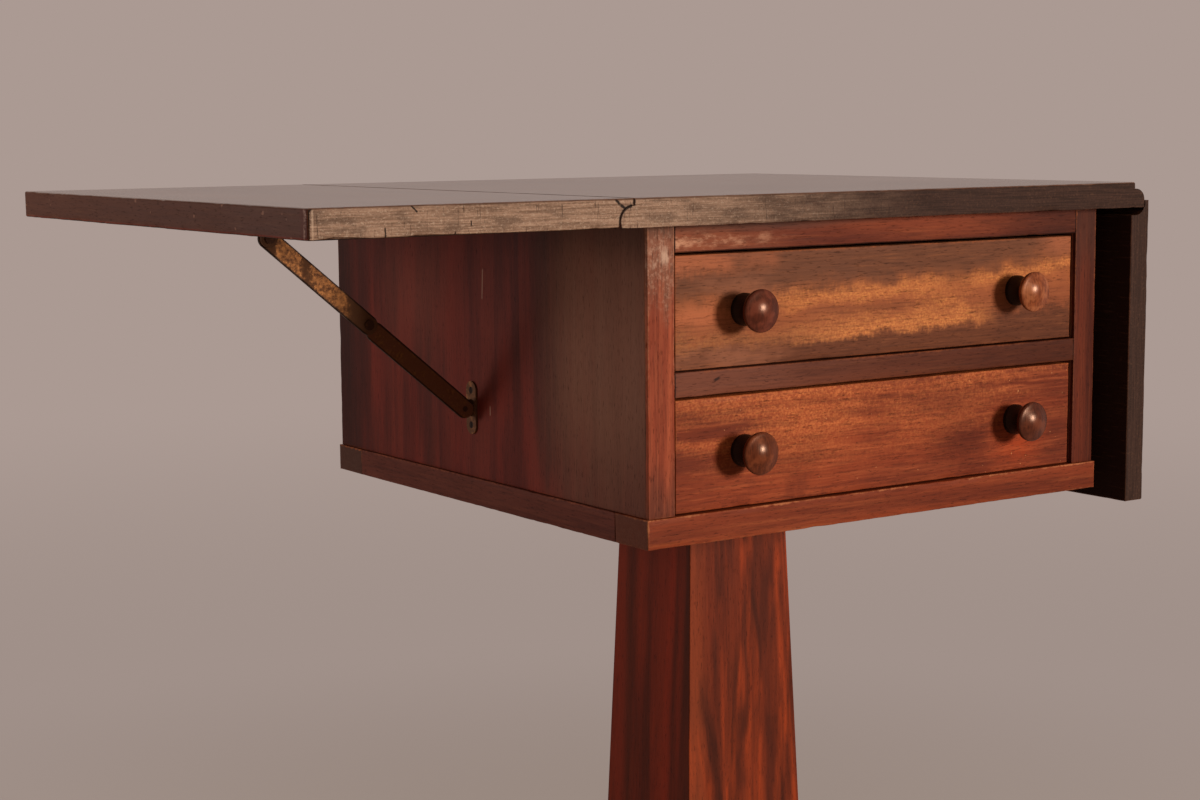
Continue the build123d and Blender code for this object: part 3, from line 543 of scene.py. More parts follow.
def shellacked(node, grain, deep, body, light, stain=None, ribbon=(2.4, 48.0), rub=0.5,
               rub_colour=srgb(170, 94, 56), gloss=0.52, sheen=0.06, fibre=0.5, speckle=0.25, shift=0.0):
    """Old polished wood for one board. A stain function may change the colour and the roughness."""
    wood = PieceFinish(node, grain)
    ribbons = wood.streaks(*ribbon, detail=3.0, shift=shift, swirl=0.3)
    fibres = wood.streaks(9.0, 330.0, detail=4.0, shift=shift + 3)
    pores = wood.streaks(150.0, 1100.0, detail=2.0, shift=shift + 5)
    grains = wood.streaks(40.0, 620.0, detail=3.0, shift=shift + 13)
    patches = wood.blots(9.0, shift=shift + 9)

    colour = wood.mix(wood.rise(ribbons, 0.36, 0.64), deep, body)
    colour = wood.mix(wood.rise(fibres, 0.46, 0.74) * fibre, colour, light)
    colour = wood.mix(wood.rise(patches, 0.5, 0.75) * 0.35, colour, deep)
    rough = gloss + 0.16 * (patches - 0.5) + 0.12 * (fibres - 0.5)
    if stain:
        colour, rough = stain(wood, colour, rough)
    pore_marks = wood.rise(pores, 0.58, 0.70)
    colour = wood.mix(pore_marks * 0.45, colour, PORE_COLOUR)
    colour = wood.mix(wood.rise(grains, 0.52, 0.32) * speckle, colour, PORE_COLOUR)
    colour = wood.mix(wood.rise(grains, 0.56, 0.74) * speckle, colour, light)
    if node not in END_GRAIN_SHOWN:
        ends = wood.rise(wood.facing[grain].size(), 0.6, 0.9)
        colour = wood.mix(ends * 0.55, colour, deep)

    gap = wood.arris_gap() + 0.004 * (wood.blots(240.0, shift=shift) - 0.5)
    rubbed = wood.rise(gap, 0.0016, 0.0) * wood.rise(wood.blots(22.0, shift=shift + 4), 0.35, 0.6)
    rubbed = rubbed * (0.3 + 0.7 * wood.rise(wood.share(Z), 0.2, 0.8))
    colour = wood.mix(rubbed * rub, colour, rub_colour)

    relief = fibres * 0.5 - pore_marks * 0.35 + patches * 0.3
    wood.apply(colour, rough + 0.15 * rubbed + 0.1 * pore_marks, sheen, relief, strength=0.35, depth=0.0004)
    return wood


print("wood finish ready, pore colour", PORE_COLOUR)

# %% [markdown]
# ## The case
# The side of the case is dark red with upright streaks. The strip next to the drawers is greyer,
# partly faded by sun and smoke and partly a painted sheen of reflected light, a band of painted shade
# lies along the top under the raised leaf, the back edge is nearly black, and two pale scratches run
# down the middle. The left facing and the top rail are lighter, and their polish is gone where they
# meet, where a painted sheen lies on the worn wood; both carry painted shade just under the top. The
# right facing is smoked, and the divider between the drawers has faded on the left. The front and
# back rails of the base run through to the sides, where their end grain shows as dark blocks. A
# scratch or a dent is a line with a start, an end and a width, measured from the lower front or lower
# left of its board.

# %% Stains of the sides and facings
GREY_BROWN = srgb(132, 89, 70)
# soot on the wood, and also the colour of the painted shade under the raised leaf
SOOT_AND_SHADE = srgb(46, 23, 18)
WORN_GREY = srgb(184, 146, 122)
LONG_SCRATCH = ((0.2109, 0.1616), (0.2123, 0.1391), 0.0009)
SHORT_SCRATCH = ((0.2027, 0.0576), (0.2028, 0.0506), 0.0008)


def smoked_side(wood, colour, rough):
    """Grey front (fading and painted sheen), sooty back, redder middle, painted leaf shade, two scratches."""
    drift = 0.05 * (wood.streaks(4.0, 26.0, shift=2) - 0.5)
    # the strip next to the drawers: partly faded wood, partly a painted sheen of reflected light
    front = wood.rise(wood.y + drift, wood.low.y + 0.155, wood.low.y + 0.075)
    front = front * (0.45 + 0.55 * wood.rise(wood.z + drift, wood.low.z, wood.low.z + 0.08))
    back = wood.rise(wood.y + drift, wood.high.y - 0.055, wood.high.y - 0.005)
    # painted shade: a dark band along the top, where the raised leaf shades the side
    painted_leaf_shade = wood.rise(wood.z + drift, wood.high.z - 0.035, wood.high.z)
    painted_leaf_shade = painted_leaf_shade * (0.2 + 0.3 * wood.rise(wood.share(Y), 0.5, 0.3))
    haze = wood.bump(wood.share(Y) + drift, 0.70, 0.20) * wood.bump(wood.share(Z), 0.68, 0.42)
    warm = wood.rise(wood.streaks(6.0, 22.0, shift=1), 0.44, 0.66)
    cool = wood.rise(wood.streaks(5.0, 34.0, shift=6), 0.46, 0.66)
    colour = wood.mix(warm * 0.55, colour, srgb(122, 42, 30))
    colour = wood.mix(cool * 0.45, colour, SOOT_AND_SHADE)
    colour = wood.mix(front * (0.58 + 0.5 * wood.streaks(5.0, 120.0, shift=8)), colour, GREY_BROWN)
    colour = wood.mix(back * 0.75, colour, SOOT_AND_SHADE)
    colour = wood.mix(haze * 0.45, colour, srgb(130, 66, 51))
    colour = wood.mix(painted_leaf_shade, colour, SOOT_AND_SHADE)
    from_front, from_foot = wood.y - wood.low.y, wood.z - wood.low.z
    scratches = [wood.line(from_front, from_foot, *mark) for mark in (LONG_SCRATCH, SHORT_SCRATCH)]
    colour = wood.mix(scratches[0].most(scratches[1]) * 0.5, colour, WORN_GREY)
    return colour, rough + 0.10 * front


def faded_facing(wood, colour, rough):
    """Polish gone at the top, with a painted sheen and painted shade just under the top; darkened foot."""
    drift = 0.06 * (wood.streaks(14.0, 120.0, shift=6) - 0.5)
    top = wood.rise(wood.z + drift, wood.high.z - 0.072, wood.high.z - 0.03)
    clouds = wood.blotched((75, 75, 48), 6.0, 0.72, shift=3)
    middle = (wood.low.x + wood.high.x) / 2
    bare = wood.bump(wood.z, wood.high.z - 0.021, 0.013) * wood.bump(wood.x, middle + 0.003, 0.008) * 0.22
    # pale patches: worn bare wood with a painted sheen of light on it
    scuffs_and_sheen = wood.rise(clouds + bare, 0.54, 0.80)
    smudges = wood.rise(clouds, 0.50, 0.36)
    grit = wood.rise(wood.blots(360.0, detail=4.0, shift=23), 0.46, 0.70)
    # painted shade: a dark band just under the top's overhang
    painted_crown_shade = wood.rise(wood.z + 0.25 * drift, wood.high.z - 0.013, wood.high.z - 0.004)
    colour = wood.mix(top * 0.75, colour, srgb(136, 90, 70))
    colour = wood.mix(top * scuffs_and_sheen * 0.7, colour, srgb(214, 176, 150))
    colour = wood.mix(top * grit * 0.45, colour, srgb(196, 152, 126))
    colour = wood.mix(top * smudges * 0.7, colour, srgb(98, 64, 50))
    colour = wood.mix(painted_crown_shade * 0.55, colour, srgb(92, 64, 51))
    low = wood.rise(wood.z + drift, wood.low.z + 0.05, wood.low.z + 0.005)
    return wood.mix(low * 0.7, colour, srgb(78, 42, 30)), rough + 0.15 * top


def smoked_facing(wood, colour, rough):
    """The right facing is brown with smoke near the top."""
    drift = 0.06 * (wood.streaks(14.0, 120.0, shift=6) - 0.5)
    top = wood.rise(wood.z + drift, wood.high.z - 0.075, wood.high.z - 0.02)
    return wood.mix(top * 0.7, colour, srgb(72, 42, 33)), rough + 0.1 * top


print("stains of the sides and facings ready, two scratches on each side")

# %% Stains of the rails
DENT = ((0.0431, 0.0100), (0.0481, 0.0118), 0.0014)
opening_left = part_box("left_front_facing")[1].x
opening_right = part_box("right_front_facing")[0].x


def joint_shadow(wood):
    """1 in the thin dark line where a rail butts against the facings."""
    from_end = (wood.x - opening_left).least(opening_right - wood.x)
    return wood.rise(from_end, 0.0014, 0.0007)


def faded_rail(wood, colour, rough):
    """Rubbed pale at the left end with a painted sheen, painted shade along the top, darker to the right."""
    along, up = wood.share(X), wood.share(Z)
    drift = wood.streaks(10.0, 110.0, shift=8) - 0.5
    # the pale left end: worn wood with a painted sheen on it
    left = wood.rise(along + 0.3 * drift, 0.34, 0.03)
    clouds = wood.blotched((48, 75, 120), 6.0, 0.72, shift=5)
    scuffs_and_sheen = wood.rise(clouds + 0.16 * wood.bump(up, 0.36, 0.4), 0.54, 0.80)
    # painted shade along the top of the rail, under the top's overhang
    painted_rail_shade = wood.rise(up + 0.5 * drift, 0.6, 0.95) * wood.rise(along, 0.6, 0.2)
    right = wood.rise(along + 0.3 * drift, 0.58, 0.92)
    gap_dirt = wood.rise(wood.z, wood.low.z + 0.0013, wood.low.z + 0.0007)
    colour = wood.mix(left * 0.7, colour, srgb(152, 86, 60))
    colour = wood.mix(left * scuffs_and_sheen * 0.75, colour, srgb(222, 162, 126))
    colour = wood.mix(painted_rail_shade * 0.75, colour, srgb(84, 54, 43))
    colour = wood.mix(right * 0.85, colour, srgb(66, 28, 18))
    return wood.mix(joint_shadow(wood).most(gap_dirt) * 0.9, colour, PORE_COLOUR), rough + 0.1 * left


def dented_divider(wood, colour, rough):
    """Faded on the left, darker and redder to the right, with one dark dent."""
    along = wood.share(X) + 0.2 * (wood.blots(12.0) - 0.5)
    colour = wood.mix(wood.rise(along, 0.5, 0.1) * 0.5, colour, srgb(132, 78, 59))
    colour = wood.mix(wood.rise(along, 0.4, 0.9) * 0.7, colour, srgb(64, 26, 13))
    dent = wood.line(wood.x - wood.low.x, wood.z - wood.low.z, *DENT)
    colour = wood.mix(dent * 0.85, colour, srgb(36, 18, 13))
    return wood.mix(joint_shadow(wood) * 0.8, colour, PORE_COLOUR), rough


def end_blocks(wood, colour, rough):
    """End grain of the front and back rails shows as dark blocks on the sides."""
    ends = wood.faces(X, -1).most(wood.faces(X, 1))
    rings = wood.blotched((60, 160, 420), 3.0)
    dark = wood.mix(rings, srgb(60, 49, 41), srgb(92, 78, 66))
    return wood.mix(ends * 0.92, colour, dark), rough + 0.1 * ends


print("stains of the rails ready, opening", round((opening_right - opening_left) / MM, 1), "mm wide")

# %% Sides, facings and rails
RED = {"deep": srgb(80, 28, 21), "body": srgb(106, 40, 29), "light": srgb(124, 54, 39), "fibre": 0.25}
EDGE_RED = {"deep": srgb(78, 36, 27), "body": srgb(98, 48, 36), "light": srgb(116, 62, 46)}
RAIL = {"deep": srgb(92, 37, 20), "body": srgb(126, 56, 30), "light": srgb(150, 76, 43)}
BASE = {"deep": srgb(104, 42, 22), "body": srgb(134, 58, 31), "light": srgb(154, 77, 43)}
BROWN = {"deep": srgb(78, 37, 23), "body": srgb(98, 48, 29), "light": srgb(116, 64, 40)}
FACING_RIBBON = (3.0, 110.0)
for side in ("left", "right"):
    shellacked(side + "_case_side", Z, **RED, stain=smoked_side, speckle=0.13, shift=11)
    shellacked(side + "_base_rail", Y, **EDGE_RED, rub=0.6, rub_colour=srgb(158, 88, 62), shift=71)
shellacked(
    "left_front_facing", Z, srgb(126, 53, 31), srgb(162, 75, 46), srgb(186, 99, 64), stain=faded_facing,
    ribbon=FACING_RIBBON, rub_colour=srgb(186, 122, 90), shift=21)
shellacked(
    "right_front_facing", Z, srgb(72, 28, 16), srgb(98, 40, 22), srgb(118, 56, 33), stain=smoked_facing,
    ribbon=FACING_RIBBON, shift=31)
shellacked("top_front_rail", X, **RAIL, stain=faded_rail, rub=0.3, shift=41)
shellacked("drawer_divider", X, **BROWN, stain=dented_divider, rub=0.3, shift=51)
shellacked(
    "front_base_rail", X, **BASE, stain=end_blocks, rub=0.85, rub_colour=srgb(184, 112, 72), shift=61)
shellacked("back_base_rail", X, **EDGE_RED, stain=end_blocks, rub=0.8, shift=65)
print("case dressed")

# %% [markdown]
# ## The drawer fronts
# The upper drawer is veneered: two golden bands of figure climb to the right between greyish brown
# edges, with ragged borders, and their gold is partly a painted sheen of the main light. Each band is
# a hump of colour along a slanting line. Three noises bend that line: slow waves, lobes as wide as a
# finger, and a fine fray. A fourth one makes the gold glitter, as cut fibres do that stand on end. The
# lower drawer is plainer, a mottled orange red that glitters along its upper half, with a painted
# sheen at its upper left, painted shade at its ends and foot, and one smoky patch.

# %% Upper drawer front
DULL_GOLD = srgb(174, 97, 53)
BRIGHT_GOLD = srgb(211, 131, 70)


def glitter(wood, start, end, dull, bright):
    """Fibres that stand on end: fine specks between a dull and a bright gold."""
    specks = wood.blotched((520, 520, 640), 3.0, 0.6)
    return wood.mix(wood.rise(specks, start, end), dull, bright)


def banded_veneer(wood, colour, rough):
    """Two golden bands on the upper drawer, figure with a painted sheen, between greyed edges."""
    along, up = wood.share(X), wood.share(Z)
    waves = wood.blotched((9, 9, 22)) - 0.5
    lobes = wood.blotched((45, 45, 55), 2.0) - 0.5
    fray = wood.blotched((300, 300, 170), 4.0, 0.7) - 0.5
    wander = 0.10 * waves + 0.26 * lobes + 0.14 * fray
    above_low = up - 0.16 - 0.06 * along + wander
    above_high = up - 0.52 - 0.13 * along - 0.07 * wood.rise(along, 0.7, 0.95) + wander
    lower_band = wood.rise(above_low, -0.04, 0.04) * wood.rise(above_low, 0.28, 0.06)
    lower_share = (0.28 + 0.62 * wood.rise(along, 0.22, 0.44)) * wood.rise(along, 0.82, 0.70)
    upper_band = wood.bump(above_high, 0.0, 0.12) * wood.rise(along, 0.12, 0.28)
    upper_share = 0.8 - 0.55 * wood.bump(along, 0.68, 0.09)
    between = wood.rise(above_low, 0.04, 0.16) * wood.rise(above_high, 0.04, -0.06)
    seam = wood.bump(up + 0.06 * fray, 0.44, 0.05) * wood.bump(along, 0.48, 0.22)
    left_glow = wood.bump(along + 0.2 * fray, 0.05, 0.14) * wood.bump(up + wander, 0.47, 0.18)
    merged = wood.bump(along + 0.2 * fray, 0.65, 0.10) * wood.bump(up + wander, 0.44, 0.18)
    rim_ends = wood.rise(along + 0.4 * lobes, 0.3, 0.0).most(wood.rise(along, 0.88, 0.97) * 0.7)
    rim_glow = wood.rise(up + 0.2 * fray, 0.74, 0.94) * rim_ends
    grey_left = wood.bump(along + 0.3 * lobes, 0.15, 0.14) * wood.bump(up + 0.2 * fray, 0.70, 0.18)
    low_glow = wood.rise(up + 0.2 * fray, 0.24, 0.10) * wood.bump(along + 0.3 * lobes, 0.12, 0.20)
    dark_corner = wood.rise(along + 0.2 * lobes, 0.74, 0.84) * wood.rise(up + wander, 0.40, 0.28)
    gold = glitter(wood, 0.32, 0.70, DULL_GOLD, BRIGHT_GOLD)
    colour = wood.mix(wood.rise(above_high, 0.0, 0.20) * 0.8, colour, srgb(106, 63, 42))
    colour = wood.mix(wood.rise(above_low, 0.04, -0.10) * 0.85, colour, srgb(98, 52, 31))
    colour = wood.mix(between * 0.7, colour, srgb(147, 77, 45))
    colour = wood.mix(seam * 0.5, colour, srgb(88, 46, 29))
    # the gold bands: figure with a painted sheen of the main light on it
    colour = wood.mix(wood.bump(above_high, -0.02, 0.24) * upper_share * 0.5, colour, DULL_GOLD)
    colour = wood.mix(upper_band * upper_share, colour, gold)
    colour = wood.mix((lower_band * lower_share).most(merged * 0.75), colour, gold)
    colour = wood.mix(dark_corner * 0.8, colour, srgb(92, 49, 30))
    colour = wood.mix(left_glow.most(rim_glow) * 0.7, colour, srgb(186, 104, 66))
    colour = wood.mix(low_glow.most(grey_left * 0.8) * 0.7, colour, srgb(150, 92, 65))
    return colour, rough - 0.05 * lower_band


DRAWER_RIBBON = (2.5, 70.0)
shellacked(
    "upper_drawer_front", X, srgb(108, 61, 37), srgb(130, 73, 44), srgb(160, 95, 57),
    stain=banded_veneer, ribbon=DRAWER_RIBBON, fibre=0.4, speckle=0.27, shift=81)
print("upper drawer dressed")


# %% Lower drawer front
def mottled_veneer(wood, colour, rough):
    """Orange red, gold on top with a painted sheen, painted shade at ends and foot, a smoky patch right."""
    along, up = wood.share(X), wood.share(Z)
    bars = wood.blotched((9, 9, 60), 4.0)
    clouds = wood.blotched((26, 26, 40), 3.0, shift=3)
    fray = wood.blotched((300, 300, 200), 4.0, 0.7) - 0.5
    high = up + 0.25 * fray
    frayed = along + 0.1 * fray
    pale = wood.rise(bars + 0.3 * fray, 0.40, 0.62) * wood.rise(high, 0.1, 0.85)
    dull = wood.rise(clouds + 0.3 * fray, 0.50, 0.68) * wood.rise(high, 1.0, 0.3)
    smoke = wood.bump(frayed, 0.70, 0.13) * wood.bump(high, 0.36, 0.34)
    corner = wood.bump(frayed, 0.06, 0.14) * wood.bump(high, 0.86, 0.20)
    ember = wood.bump(along, 0.86, 0.1) * wood.bump(high, 0.26, 0.24)
    # painted sheen: a pool of the main light's sheen at the upper left
    glow = wood.bump(frayed, 0.31, 0.17) * wood.bump(high, 0.68, 0.60)
    # painted shade: darker at both ends, along the foot and towards the upper right
    dusk = wood.bump(frayed, 0.66, 0.20) * wood.bump(high, 0.74, 0.30)
    foot = wood.bump(frayed, 0.58, 0.28) * wood.rise(high, 0.40, 0.08)
    left_end = wood.rise(along + 0.05 * fray, 0.14, 0.0) * wood.rise(high, 0.62, 0.40)
    right_end = wood.rise(along + 0.05 * fray, 0.86, 0.98) * wood.rise(high, 1.1, 0.4)
    rim_glow = wood.rise(high, 0.84, 0.98) * wood.bump(frayed, 0.30, 0.32)
    gold = glitter(wood, 0.34, 0.68, srgb(168, 80, 42), srgb(216, 122, 66))
    specks = wood.rise(wood.blots(330.0, detail=1.0, shift=7), 0.77, 0.80)
    colour = wood.mix(pale * 0.64, colour, gold)
    colour = wood.mix(dull * 0.5, colour, srgb(90, 34, 18))
    colour = wood.mix(ember * 0.6, colour, srgb(164, 58, 20))
    # the painted sheen and the golden top edge, laid on in gold
    colour = wood.mix((glow * 0.50).most(rim_glow * 0.75), colour, gold)
    shade = (dusk * 0.74).most(right_end * 0.74).most(foot * 0.56).most(left_end * 0.4)
    colour = wood.mix(shade, colour, srgb(100, 41, 23))
    colour = wood.mix(smoke.most(corner * 0.4) * 0.8, colour, srgb(84, 30, 15))
    return wood.mix(specks * 0.6, colour, srgb(222, 150, 96)), rough


shellacked(
    "lower_drawer_front", X, srgb(108, 44, 23), srgb(136, 57, 29), srgb(190, 98, 56),
    stain=mottled_veneer, ribbon=DRAWER_RIBBON, fibre=0.45, speckle=0.26, shift=91)
print("lower drawer dressed")

# %% [markdown]
# ## The top and its leaves
# The top has stood in the light: its polish is thin and grey, but at a low angle it still mirrors the
# room, so it gets a clear coat. Its front edge is end grain, rubbed to a pale tan on the left and still
# dark on the right, with growth rings as fine level lines and a few cracks, and the raised leaf's
# corner is worn round. The outer edge of the leaf is long grain and has kept its dark brown. The
# underside was never polished, and it is painted nearly black as shade, as is the hanging leaf's inner
# face. The cracks are lines between two points, measured from the raised leaf's outer edge and up
# from its underside.

# %% Cracks and corners of the front edge
CORNER_ROUND = 0.0062
CHECK_WIDTH, SPLIT_WIDTH = 0.0008, 0.0015
joint_pin = (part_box("left_hinge_pins")[0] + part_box("left_hinge_pins")[1]) / 2
joint_radius = joint_pin.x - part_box("fixed_top")[0].x
leaf_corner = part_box("left_leaf")[0].x
leaf_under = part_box("left_leaf")[0].z
split_end = joint_pin.x - leaf_corner + 0.0012
CHECKS = [
    ((0.0533, 0.0), (0.0529, 0.0065)), ((0.1033, 0.0), (0.1029, 0.0024)),
    ((0.0715, 0.0198), (0.0759, 0.0152)), ((0.1147, 0.0056), (0.1145, 0.0090)),
]
SPLITS = [
    ((0.2253, 0.0200), (0.2289, 0.0158)), ((0.2289, 0.0158), (0.2339, 0.0128)),
    ((split_end, 0.0200), (split_end, 0.0150)),
]
CRACKS = [(*ends, CHECK_WIDTH) for ends in CHECKS] + [(*ends, SPLIT_WIDTH) for ends in SPLITS]


def dark_lines(wood, scars):
    """1 in the cracks, in the rule joint and in the groove round the raised leaf's corner."""
    from_edge = wood.x - leaf_corner
    from_pin = wood.stretched(wood.place, (1, 0, 1), (-joint_pin.x, 0, -joint_pin.z))
    reach = wood.node("ShaderNodeVectorMath", {"operation": "LENGTH"}, {0: from_pin}, out=1)
    from_joint = (reach - joint_radius).size()
    dark = wood.rise(from_joint, 0.0016, 0.0006) * wood.rise(wood.x, joint_pin.x, joint_pin.x - MM)
    for start, end, width in CRACKS:
        wavy = from_edge + 0.002 * (scars - 0.5)
        dark = dark.most(wood.line(wavy, wood.z - leaf_under, start, end, width))
    from_corner = from_edge + 0.0012 * (scars - 0.5)
    beside = (CORNER_ROUND - from_corner).most(0)
    above = (wood.z - wood.high.z + CORNER_ROUND).most(0)
    past_round = wood.rise(beside * beside + above * above, (0.85 * CORNER_ROUND) ** 2, CORNER_ROUND ** 2)
    return dark.most(wood.rise(from_corner, 0.0021, 0.0013)).most(past_round)


print(len(CRACKS), "cracks, rule joint", round(joint_radius / MM, 2), "mm in radius")

# %% End grain and long grain
FADE_MIDDLE, FADE_WIDTH = leaf_corner + 0.3701, 0.15
RING_PITCH, RING_LENGTH = 900, 26


def end_grain(wood, stains, scars):
    """Growth rings on the front edge, pale on the left and dark on the right."""
    thin = min((X, Z), key=lambda axis: wood.high[axis] - wood.low[axis])
    rings = wood.blotched([RING_PITCH if axis == thin else RING_LENGTH for axis in (X, Y, Z)], 4.0, 0.6)
    ringed = wood.rise(rings, 0.35, 0.65)
    marks = wood.rise(wood.blotched((700, 700, 70), 2.0), 0.66, 0.72)
    left = wood.rise(wood.x + 0.10 * (stains - 0.5), FADE_MIDDLE + FADE_WIDTH, FADE_MIDDLE - FADE_WIDTH)
    pale = wood.mix(ringed, srgb(124, 94, 74), srgb(166, 131, 107))
    pale = wood.mix(wood.rise(stains, 0.48, 0.66) * 0.6, pale, srgb(96, 72, 57))
    pale = wood.mix(wood.rise(scars, 0.50, 0.68) * 0.6, pale, srgb(200, 171, 146))
    pale = wood.mix(wood.rise(scars, 0.42, 0.30) * 0.5, pale, srgb(84, 60, 47))
    edge = wood.mix(left, wood.mix(ringed, srgb(50, 33, 26), srgb(66, 44, 35)), pale)
    edge = wood.mix(marks * 0.6, edge, srgb(48, 31, 24))
    from_corner = wood.x - leaf_corner + 0.0012 * (scars - 0.5)
    edge = wood.mix(wood.bump(from_corner, 0.0035, 0.0012) * 0.55, edge, srgb(208, 174, 146))
    upper_arris = wood.rise(wood.z + 0.001 * (scars - 0.5), wood.high.z - 0.0016, wood.high.z - 0.0005)
    edge = wood.mix(upper_arris * left * 0.65, edge, srgb(62, 38, 29))
    return wood.mix(dark_lines(wood, scars) * 0.95, edge, srgb(20, 11, 8))


def long_grain(wood, colour, sides, stains, scars):
    """The dark long edges, reddish below, torn beside the raised leaf's corner, and knocked."""
    colour = wood.mix(sides * 0.85, colour, srgb(86, 48, 36))
    low_arris = wood.rise(wood.z + 0.002 * (scars - 0.5), wood.low.z + 0.0024, wood.low.z + 0.0004)
    colour = wood.mix(sides * low_arris * 0.6, colour, srgb(140, 50, 34))
    from_corner = wood.x - leaf_corner + 0.0012 * (scars - 0.5)
    from_front = wood.y - wood.low.y + 0.006 * (stains - 0.5)
    end_strip = sides * wood.rise(from_corner, 0.004, 0.002)
    colour = wood.mix(end_strip * wood.rise(from_front, 0.012, 0.007) * 0.6, colour, srgb(92, 42, 33))
    torn = wood.bump(from_front + 0.006 * (scars - 0.5), 0.0045, 0.0022) * wood.rise(scars, 0.42, 0.60)
    colour = wood.mix(end_strip * torn * 0.6, colour, srgb(196, 158, 140))
    knocks = wood.rise(wood.blots(140.0, detail=1.0, shift=5), 0.72, 0.76)
    return wood.mix(sides * knocks * 0.5, colour, srgb(168, 120, 96))


def weathered_board(below_axis, below_sign):
    """A stain with worn edges; the face looking one way is unpolished and painted dark as shade."""
    def stain(wood, colour, rough):
        front = wood.faces(Y, -1)
        sides = wood.faces(X, -1).most(wood.faces(X, 1))
        below = wood.faces(below_axis, below_sign)
        stains = wood.blotched((40, 40, 120), 4.0)
        scars = wood.blotched((380, 380, 700), 5.0, 0.75)
        colour = wood.mix(front, colour, end_grain(wood, stains, scars))
        colour = long_grain(wood, colour, sides, stains, scars)
        # painted shade: the unpolished underside, or the hanging leaf's inner face, painted nearly black
        colour = wood.mix(below * 0.9, colour, srgb(34, 20, 15))
        return colour, rough + 0.28 * front + 0.22 * sides + 0.3 * below

    return stain


print("end grain fades over", 2 * FADE_WIDTH, "m")

# %% Fixed top and leaves
COAT_WEIGHT, COAT_ROUGHNESS = 0.88, 0.15
SHOW_FACE = {"left_leaf": (Z, 1), "fixed_top": (Z, 1), "right_leaf": (X, 1)}
for node, (axis, sign) in SHOW_FACE.items():
    board = shellacked(
        node, Y, srgb(94, 58, 38), srgb(118, 77, 52), srgb(138, 96, 68), stain=weathered_board(axis, -sign),
        ribbon=(2.0, 30.0), rub=0.3, rub_colour=srgb(134, 84, 62), gloss=0.34, speckle=0.14, shift=101)
    board.feed(board.surface.inputs["Coat Weight"], board.faces(axis, sign) * COAT_WEIGHT)
    board.surface.inputs["Coat Roughness"].default_value = COAT_ROUGHNESS
print("top and leaves dressed")

# %% [markdown]
# ## The pedestal
# The column is veneered with flame mahogany: dark tongues between orange red ones, drawn out upwards
# and bent a little. Its foot is not in the photograph, so the collar, the platform and the feet get
# the same wood with a quieter figure.

# %% Column, platform and feet
def flame(wood, colour, rough):
    """Dark tongues in the veneer of the column, broader and redder on its sides."""
    tongues = wood.streaks(8.0, 58.0, detail=2.0, shift=19, swirl=1.2)
    wisps = wood.streaks(6.0, 78.0, detail=2.0, shift=27, swirl=0.9)
    sway = wood.share(X) + 0.10 * (tongues - 0.5) + 0.05 * (wisps - 0.5)
    sides = wood.faces(X, -1).most(wood.faces(X, 1))
    broad = wood.streaks(1.6, 34.0, detail=2.0, shift=37) + 0.3 * (wisps - 0.5)
    back = wood.share(Y) + 0.06 * (tongues - 0.5)
    shaded = wood.rise(back, 0.22, 0.08).most(wood.bump(back, 0.73, 0.11))
    colour = wood.mix(wood.rise(wisps, 0.42, 0.74) * 0.85, colour, srgb(162, 62, 26))
    colour = wood.mix(wood.rise(tongues, 0.40, 0.72) * 0.85, colour, srgb(62, 26, 15))
    from_top = wood.high.z - wood.z
    left_lit = wood.rise(sway, 0.24, 0.12) * (0.4 + 0.6 * wood.rise(from_top, 0.0214, 0.0814))
    left_dim = wood.bump(sway, 0.33, 0.07) * wood.bump(from_top, 0.1614, 0.10)
    right_dim = wood.bump(sway, 0.72, 0.12)
    colour = wood.mix(left_lit * 0.5, colour, srgb(152, 68, 36))
    colour = wood.mix(right_dim.most(left_dim) * 0.55, colour, srgb(82, 33, 19))
    colour = wood.mix(wood.rise(from_top, 0.0814, 0.0014) * 0.4, colour, srgb(98, 58, 43))
    side_colour = wood.mix(wood.rise(broad, 0.38, 0.62), srgb(68, 25, 17), srgb(114, 37, 22))
    side_colour = wood.mix(shaded * 0.75, side_colour, srgb(52, 24, 17))
    side_colour = wood.mix(wood.bump(back, 0.30, 0.07) * 0.5, side_colour, srgb(150, 46, 26))
    return wood.mix(sides * 0.85, colour, side_colour), rough


PEDESTAL = {"pedestal_column": (Z, flame), "column_collar": (X, None), "platform_base": (X, None),
            "bun_feet": (X, None)}
for node, (grain, figure) in PEDESTAL.items():
    shellacked(
        node, grain, srgb(88, 34, 18), srgb(116, 45, 22), srgb(140, 60, 33), stain=figure, gloss=0.46,
        fibre=0.25, speckle=0.12, shift=121)
print("pedestal dressed")

# %% [markdown]
# ## Knobs
# The knobs are turned from a dense dark wood and polished by hands, so they shine. The one at the
# upper right is paler, with visible grain, and may be a replacement. Each head is painted darker
# towards its rim as shade. The necks never get rubbed and lie in the heads' shade, so they are painted
# almost black, for dirt and shade together.

# %% Turned knobs
HEAD_DEPTH = 0.0060
SHELLAC = srgb(255, 198, 164)


